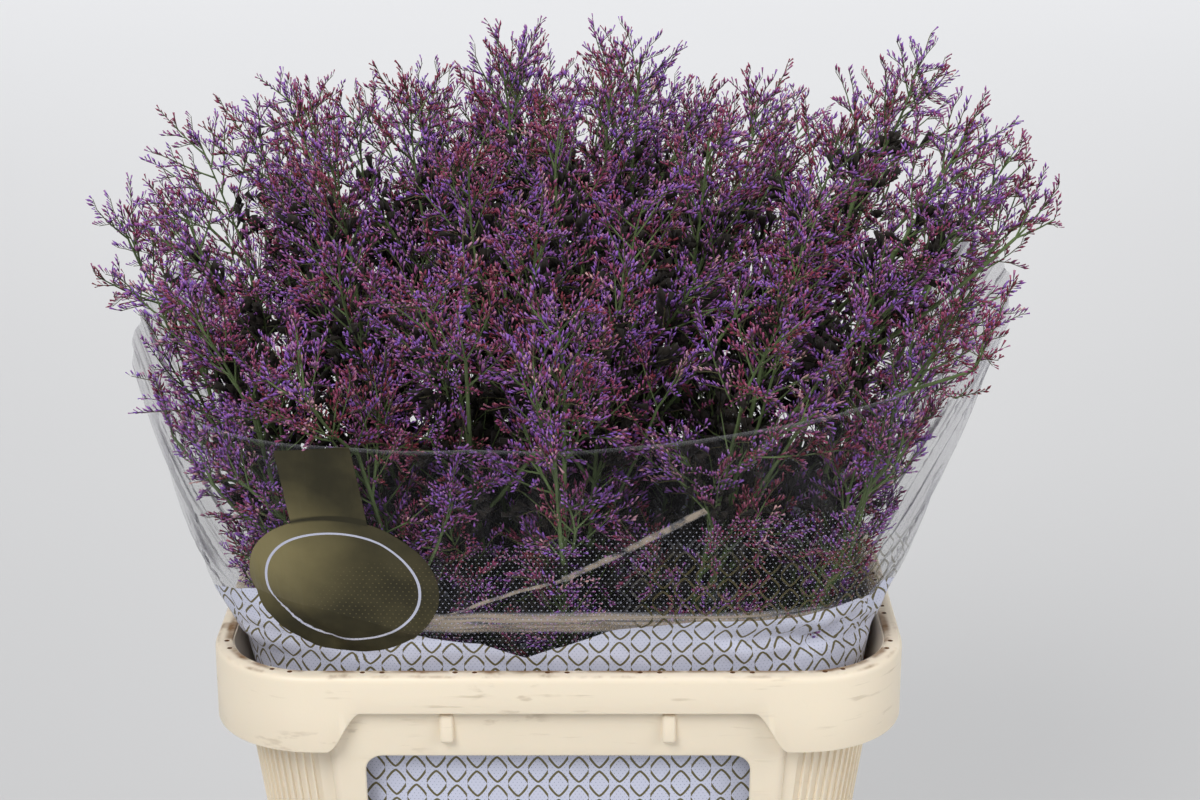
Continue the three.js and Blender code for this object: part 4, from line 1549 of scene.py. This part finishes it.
def twig_paint(settings):
    """Matt green stems with lighter and darker lengths, browner where they carry florets."""

    def paint(tree):
        place = tree.object_place()
        bloom = tree.attribute("bloom").clamped()
        long_patch = tree.noise(place, 35.0, 3.0, (1, 1, 0.4))
        fine = tree.noise(place, 700.0, 2.0, (1, 1, 0.15))
        dark = [c * 0.45 for c in settings.stem_colour]
        green = tree.mix(long_patch.ramp(0.3, 0.7), rgba(dark), rgba(settings.stem_colour))
        brown = tree.mix(long_patch, TWIG_BROWN, TWIG_OLIVE)
        return {
            "Base Color": tree.mix(bloom * 0.7, green, brown),
            "Roughness": 0.62 + fine * 0.15,
            "Normal": tree.bump(fine, 0.0002),
            "Specular IOR Level": 0.3,
        }

    return paint


def build_spray(stem, group, inputs, seed):
    dice = np.random.default_rng(seed)
    twigs = Twigs()
    add_stem(twigs, stem, dice)
    add_inner_growth(twigs, stem, dice)
    for _ in range(FORKS):
        add_fork(twigs, stem, dice)
    for fan in stem_fans(stem):
        depth = stem.top - fan.root[2]
        hidden = stem.radius < 0.62 and depth > 0.04
        add_fan(twigs, fan, dice, 0.5 if hidden else 1.0)
    piece = twigs.object(f"statice_{stem.n + 1:02d}")
    grow(piece, group, {**inputs, "Seed": seed * 10})
    finish_piece(piece, "statice", f"spray_{stem.n + 1:02d}")


def build_sprays(settings):
    florets = floret_shapes()
    group = spray_tree()
    inputs = {
        "Florets": florets,
        "Floret Length": settings.floret_length,
        "Floret Width": settings.floret_width,
        "Spacing": settings.floret_spacing,
        "Twig Finish": material("Green stems", twig_paint(settings)),
        "Floret Finish": material("Dried florets", floret_paint(settings)),
    }
    for stem in STALKS:
        build_spray(stem, group, inputs, settings.seed + stem.n)
    remove(*list(florets.objects))
    bpy.data.collections.remove(florets)


# Stage.


def stage_paint(settings):
    """A pale matt floor that glows more towards the wall, as the photo's lit backdrop does."""

    def paint(tree):
        place = tree.object_place()
        cloud = tree.noise(place, 1.3, 1.0)
        pale = rgba(settings.floor_colour)
        shade = rgba([c * 0.97 for c in settings.floor_colour])
        far = tree.parts(place)[1].ramp(0.5, 4.9)
        return {
            "Base Color": tree.mix(cloud, pale, shade),
            "Roughness": 0.9,
            "Specular IOR Level": 0.1,
            "Emission Color": tree.mix(far, NEAR_GLOW, FAR_GLOW),
            "Emission Strength": GLOW,
        }

    return paint


def build_sweep(settings):
    """A pale round floor whose far edge curves up into a low wall."""
    section = [(0.002, 0.0), (1.5, 0.0), (SWEEP_RADIUS, 0.0)]
    for turn in np.linspace(0.08, math.pi / 2, 20):
        section.append((SWEEP_RADIUS + SWEEP_BEND * math.sin(turn), SWEEP_BEND * (1 - math.cos(turn))))
    around = np.linspace(0, math.tau, 96, endpoint=False)
    rings = []
    for radius, z in section:
        height = np.full(len(around), z - SWEEP_DROP)
        rings.append(np.stack((radius * np.cos(around), radius * np.sin(around), height), axis=1))
    sweep = loft("studio_sweep", rings, capped=False)
    sweep.data.shade_smooth()
    sweep.data.materials.append(material("Pale floor", stage_paint(settings)))


def add_light(name, place, aim, size, power):
    light = bpy.data.lights.new(name, "AREA")
    light.shape, light.size, light.energy = "DISK", size, power
    lamp = bpy.data.objects.new(name, light)
    lamp.location = place
    lamp.rotation_euler = (Vector(aim) - Vector(place)).to_track_quat("-Z", "Y").to_euler()
    bpy.context.scene.collection.objects.link(lamp)


def add_world(scene, ambient):
    world = bpy.data.worlds.new("Soft studio")
    world.use_nodes = True
    background = world.node_tree.nodes["Background"]
    background.inputs["Color"].default_value = SKY
    background.inputs["Strength"].default_value = ambient
    scene.world = world


def add_camera(scene):
    camera = bpy.data.objects.new("camera", bpy.data.cameras.new("camera"))
    camera.location = CAMERA_PLACE
    camera.rotation_euler = (CAMERA_PITCH, 0, 0)
    camera.data.lens = CAMERA_LENS
    camera.data.sensor_width = 36
    camera.data.sensor_fit = "HORIZONTAL"
    scene.collection.objects.link(camera)
    scene.camera = camera


def build_stage(settings):
    build_sweep(settings)
    for name, (place, aim, size, share) in LIGHTS.items():
        add_light(name, place, aim, size, settings.key_power * share)
    scene = bpy.context.scene
    add_world(scene, settings.ambient)
    scene.view_settings.view_transform = "Standard"
    add_camera(scene)


# The add-on.

COLOUR = {"subtype": "COLOR", "size": 3, "min": 0.0, "max": 1.0}
LENGTH = {"min": 0.0, "unit": "LENGTH", "subtype": "DISTANCE", "precision": 5}
FACTOR = {"min": 0.0, "max": 1.0, "subtype": "FACTOR"}


def length(name, description, default):
    return bpy.props.FloatProperty(name=name, description=description, default=default, **LENGTH)


def colour(name, description, default):
    return bpy.props.FloatVectorProperty(name=name, description=description, default=default, **COLOUR)


def factor(name, description, default):
    return bpy.props.FloatProperty(name=name, description=description, default=default, **FACTOR)


def whole(name, description, default, **limits):
    return bpy.props.IntProperty(name=name, description=description, default=default, **limits)


class BucketSettings(bpy.types.PropertyGroup):
    plastic_colour: colour("Plastic", "Colour of the clean bucket plastic", (0.930, 0.815, 0.640))
    lip_grime: factor("Lip grime", "How dirty the lip is along its edges", 0.85)
    scuffs: factor("Scuffs", "How strongly the skirt is scuffed", 0.8)
    flutes: whole("Flutes", "Grooves on each corner", 13, min=4, max=20)
    hole_pairs: whole("Hole pairs", "Pairs of holes in the lip", 24, min=4)
    hole_radius: length("Hole radius", "Radius of each hole in the lip", 0.0016)


class SleeveSettings(bpy.types.PropertyGroup):
    segments: whole("Segments", "Faces round the sleeve", 300, min=80)
    rows: whole("Rows", "Rows of faces above the rim", 48, min=20)
    thickness: length("Thickness", "Thickness of the film", 0.00015)
    haze: factor("Haze", "How much the clear film veils what is behind it", 0.006)
    print_colour: colour("Print", "Colour of the white print", (0.64, 0.66, 0.80))
    gold_colour: colour("Gold", "Colour of the lattice, the patch and the band", (0.034, 0.030, 0.014))
    gold_shine: colour("Gold shine", "Colour of the gold where light falls on it", (0.26, 0.22, 0.10))


class StaticeSettings(bpy.types.PropertyGroup):
    floret_length: length("Floret length", "Length of a floret", 0.0055)
    floret_width: length("Floret width", "Width of a floret", 0.00165)
    floret_spacing: length("Floret spacing", "Way between florets along a comb", 0.00150)
    seed: whole("Seed", "Start of every random draw", 11, min=0)
    maroon: colour("Maroon", "Darkest floret colour", (0.145, 0.020, 0.032))
    magenta: colour("Magenta", "Warm floret colour", (0.255, 0.045, 0.105))
    purple: colour("Purple", "Middle floret colour", (0.238, 0.070, 0.250))
    violet: colour("Violet", "Bluest floret colour", (0.235, 0.105, 0.480))
    faded: colour("Faded", "Colour of faded florets and pale tips", (0.560, 0.330, 0.320))
    # Painted shade: near-black florets that stand in for the shade deep inside the bunch.
    painted_shade_colour: colour("Shadow", "Colour of spent florets inside the bunch", (0.015, 0.012, 0.009))
    stem_colour: colour("Stems", "Colour of the stems", (0.130, 0.190, 0.070))


class StageSettings(bpy.types.PropertyGroup):
    floor_colour: colour("Floor", "Colour of the floor and wall", (0.40, 0.40, 0.403))
    key_power: bpy.props.FloatProperty(
        name="Key power", description="Power of the main soft light", default=70.0, min=0.0, unit="POWER"
    )
    ambient: bpy.props.FloatProperty(
        name="Ambient", description="Strength of the light from all sides", default=0.28, min=0.0
    )


class STATICE_OT_bucket(bpy.types.Operator):
    """Build the cream bucket"""

    bl_idname = "statice.build_bucket"
    bl_label = "Build Bucket"

    def execute(self, context):
        build_bucket(context.scene.statice_bucket)
        return {"FINISHED"}


class STATICE_OT_sleeve(bpy.types.Operator):
    """Build the printed film sleeve"""

    bl_idname = "statice.build_sleeve"
    bl_label = "Build Sleeve"

    def execute(self, context):
        build_sleeve(context.scene.statice_sleeve)
        return {"FINISHED"}


class STATICE_OT_sprays(bpy.types.Operator):
    """Build the statice sprays"""

    bl_idname = "statice.build_sprays"
    bl_label = "Build Sprays"

    def execute(self, context):
        build_sprays(context.scene.statice_sprays)
        return {"FINISHED"}


class STATICE_OT_stage(bpy.types.Operator):
    """Build the pale floor, the soft lights and the camera"""

    bl_idname = "statice.build_stage"
    bl_label = "Build Stage"

    def execute(self, context):
        build_stage(context.scene.statice_stage)
        return {"FINISHED"}


class STATICE_PT_panel(bpy.types.Panel):
    """Lists the settings and the build steps"""

    bl_idname = "STATICE_PT_panel"
    bl_label = "Sleeved Statice"
    bl_space_type = "VIEW_3D"
    bl_region_type = "UI"
    bl_category = "Statice"

    def draw(self, context):
        for name, operator in STEPS.items():
            box = self.layout.box()
            settings = getattr(context.scene, name)
            for key in settings.__annotations__:
                box.prop(settings, key)
            box.operator(operator.bl_idname)


GROUPS = {
    "statice_bucket": BucketSettings,
    "statice_sleeve": SleeveSettings,
    "statice_sprays": StaticeSettings,
    "statice_stage": StageSettings,
}
STEPS = {
    "statice_bucket": STATICE_OT_bucket,
    "statice_sleeve": STATICE_OT_sleeve,
    "statice_sprays": STATICE_OT_sprays,
    "statice_stage": STATICE_OT_stage,
}
CLASSES = (*GROUPS.values(), *STEPS.values(), STATICE_PT_panel)


def register():
    for made in CLASSES:
        bpy.utils.register_class(made)
    for name, group in GROUPS.items():
        setattr(bpy.types.Scene, name, bpy.props.PointerProperty(type=group))


def unregister():
    for name in GROUPS:
        delattr(bpy.types.Scene, name)
    for made in reversed(CLASSES):
        bpy.utils.unregister_class(made)


def main():
    register()
    bpy.ops.statice.build_stage()
    bpy.ops.statice.build_bucket()
    bpy.ops.statice.build_sleeve()
    bpy.ops.statice.build_sprays()


if __name__ == "__main__":
    main()
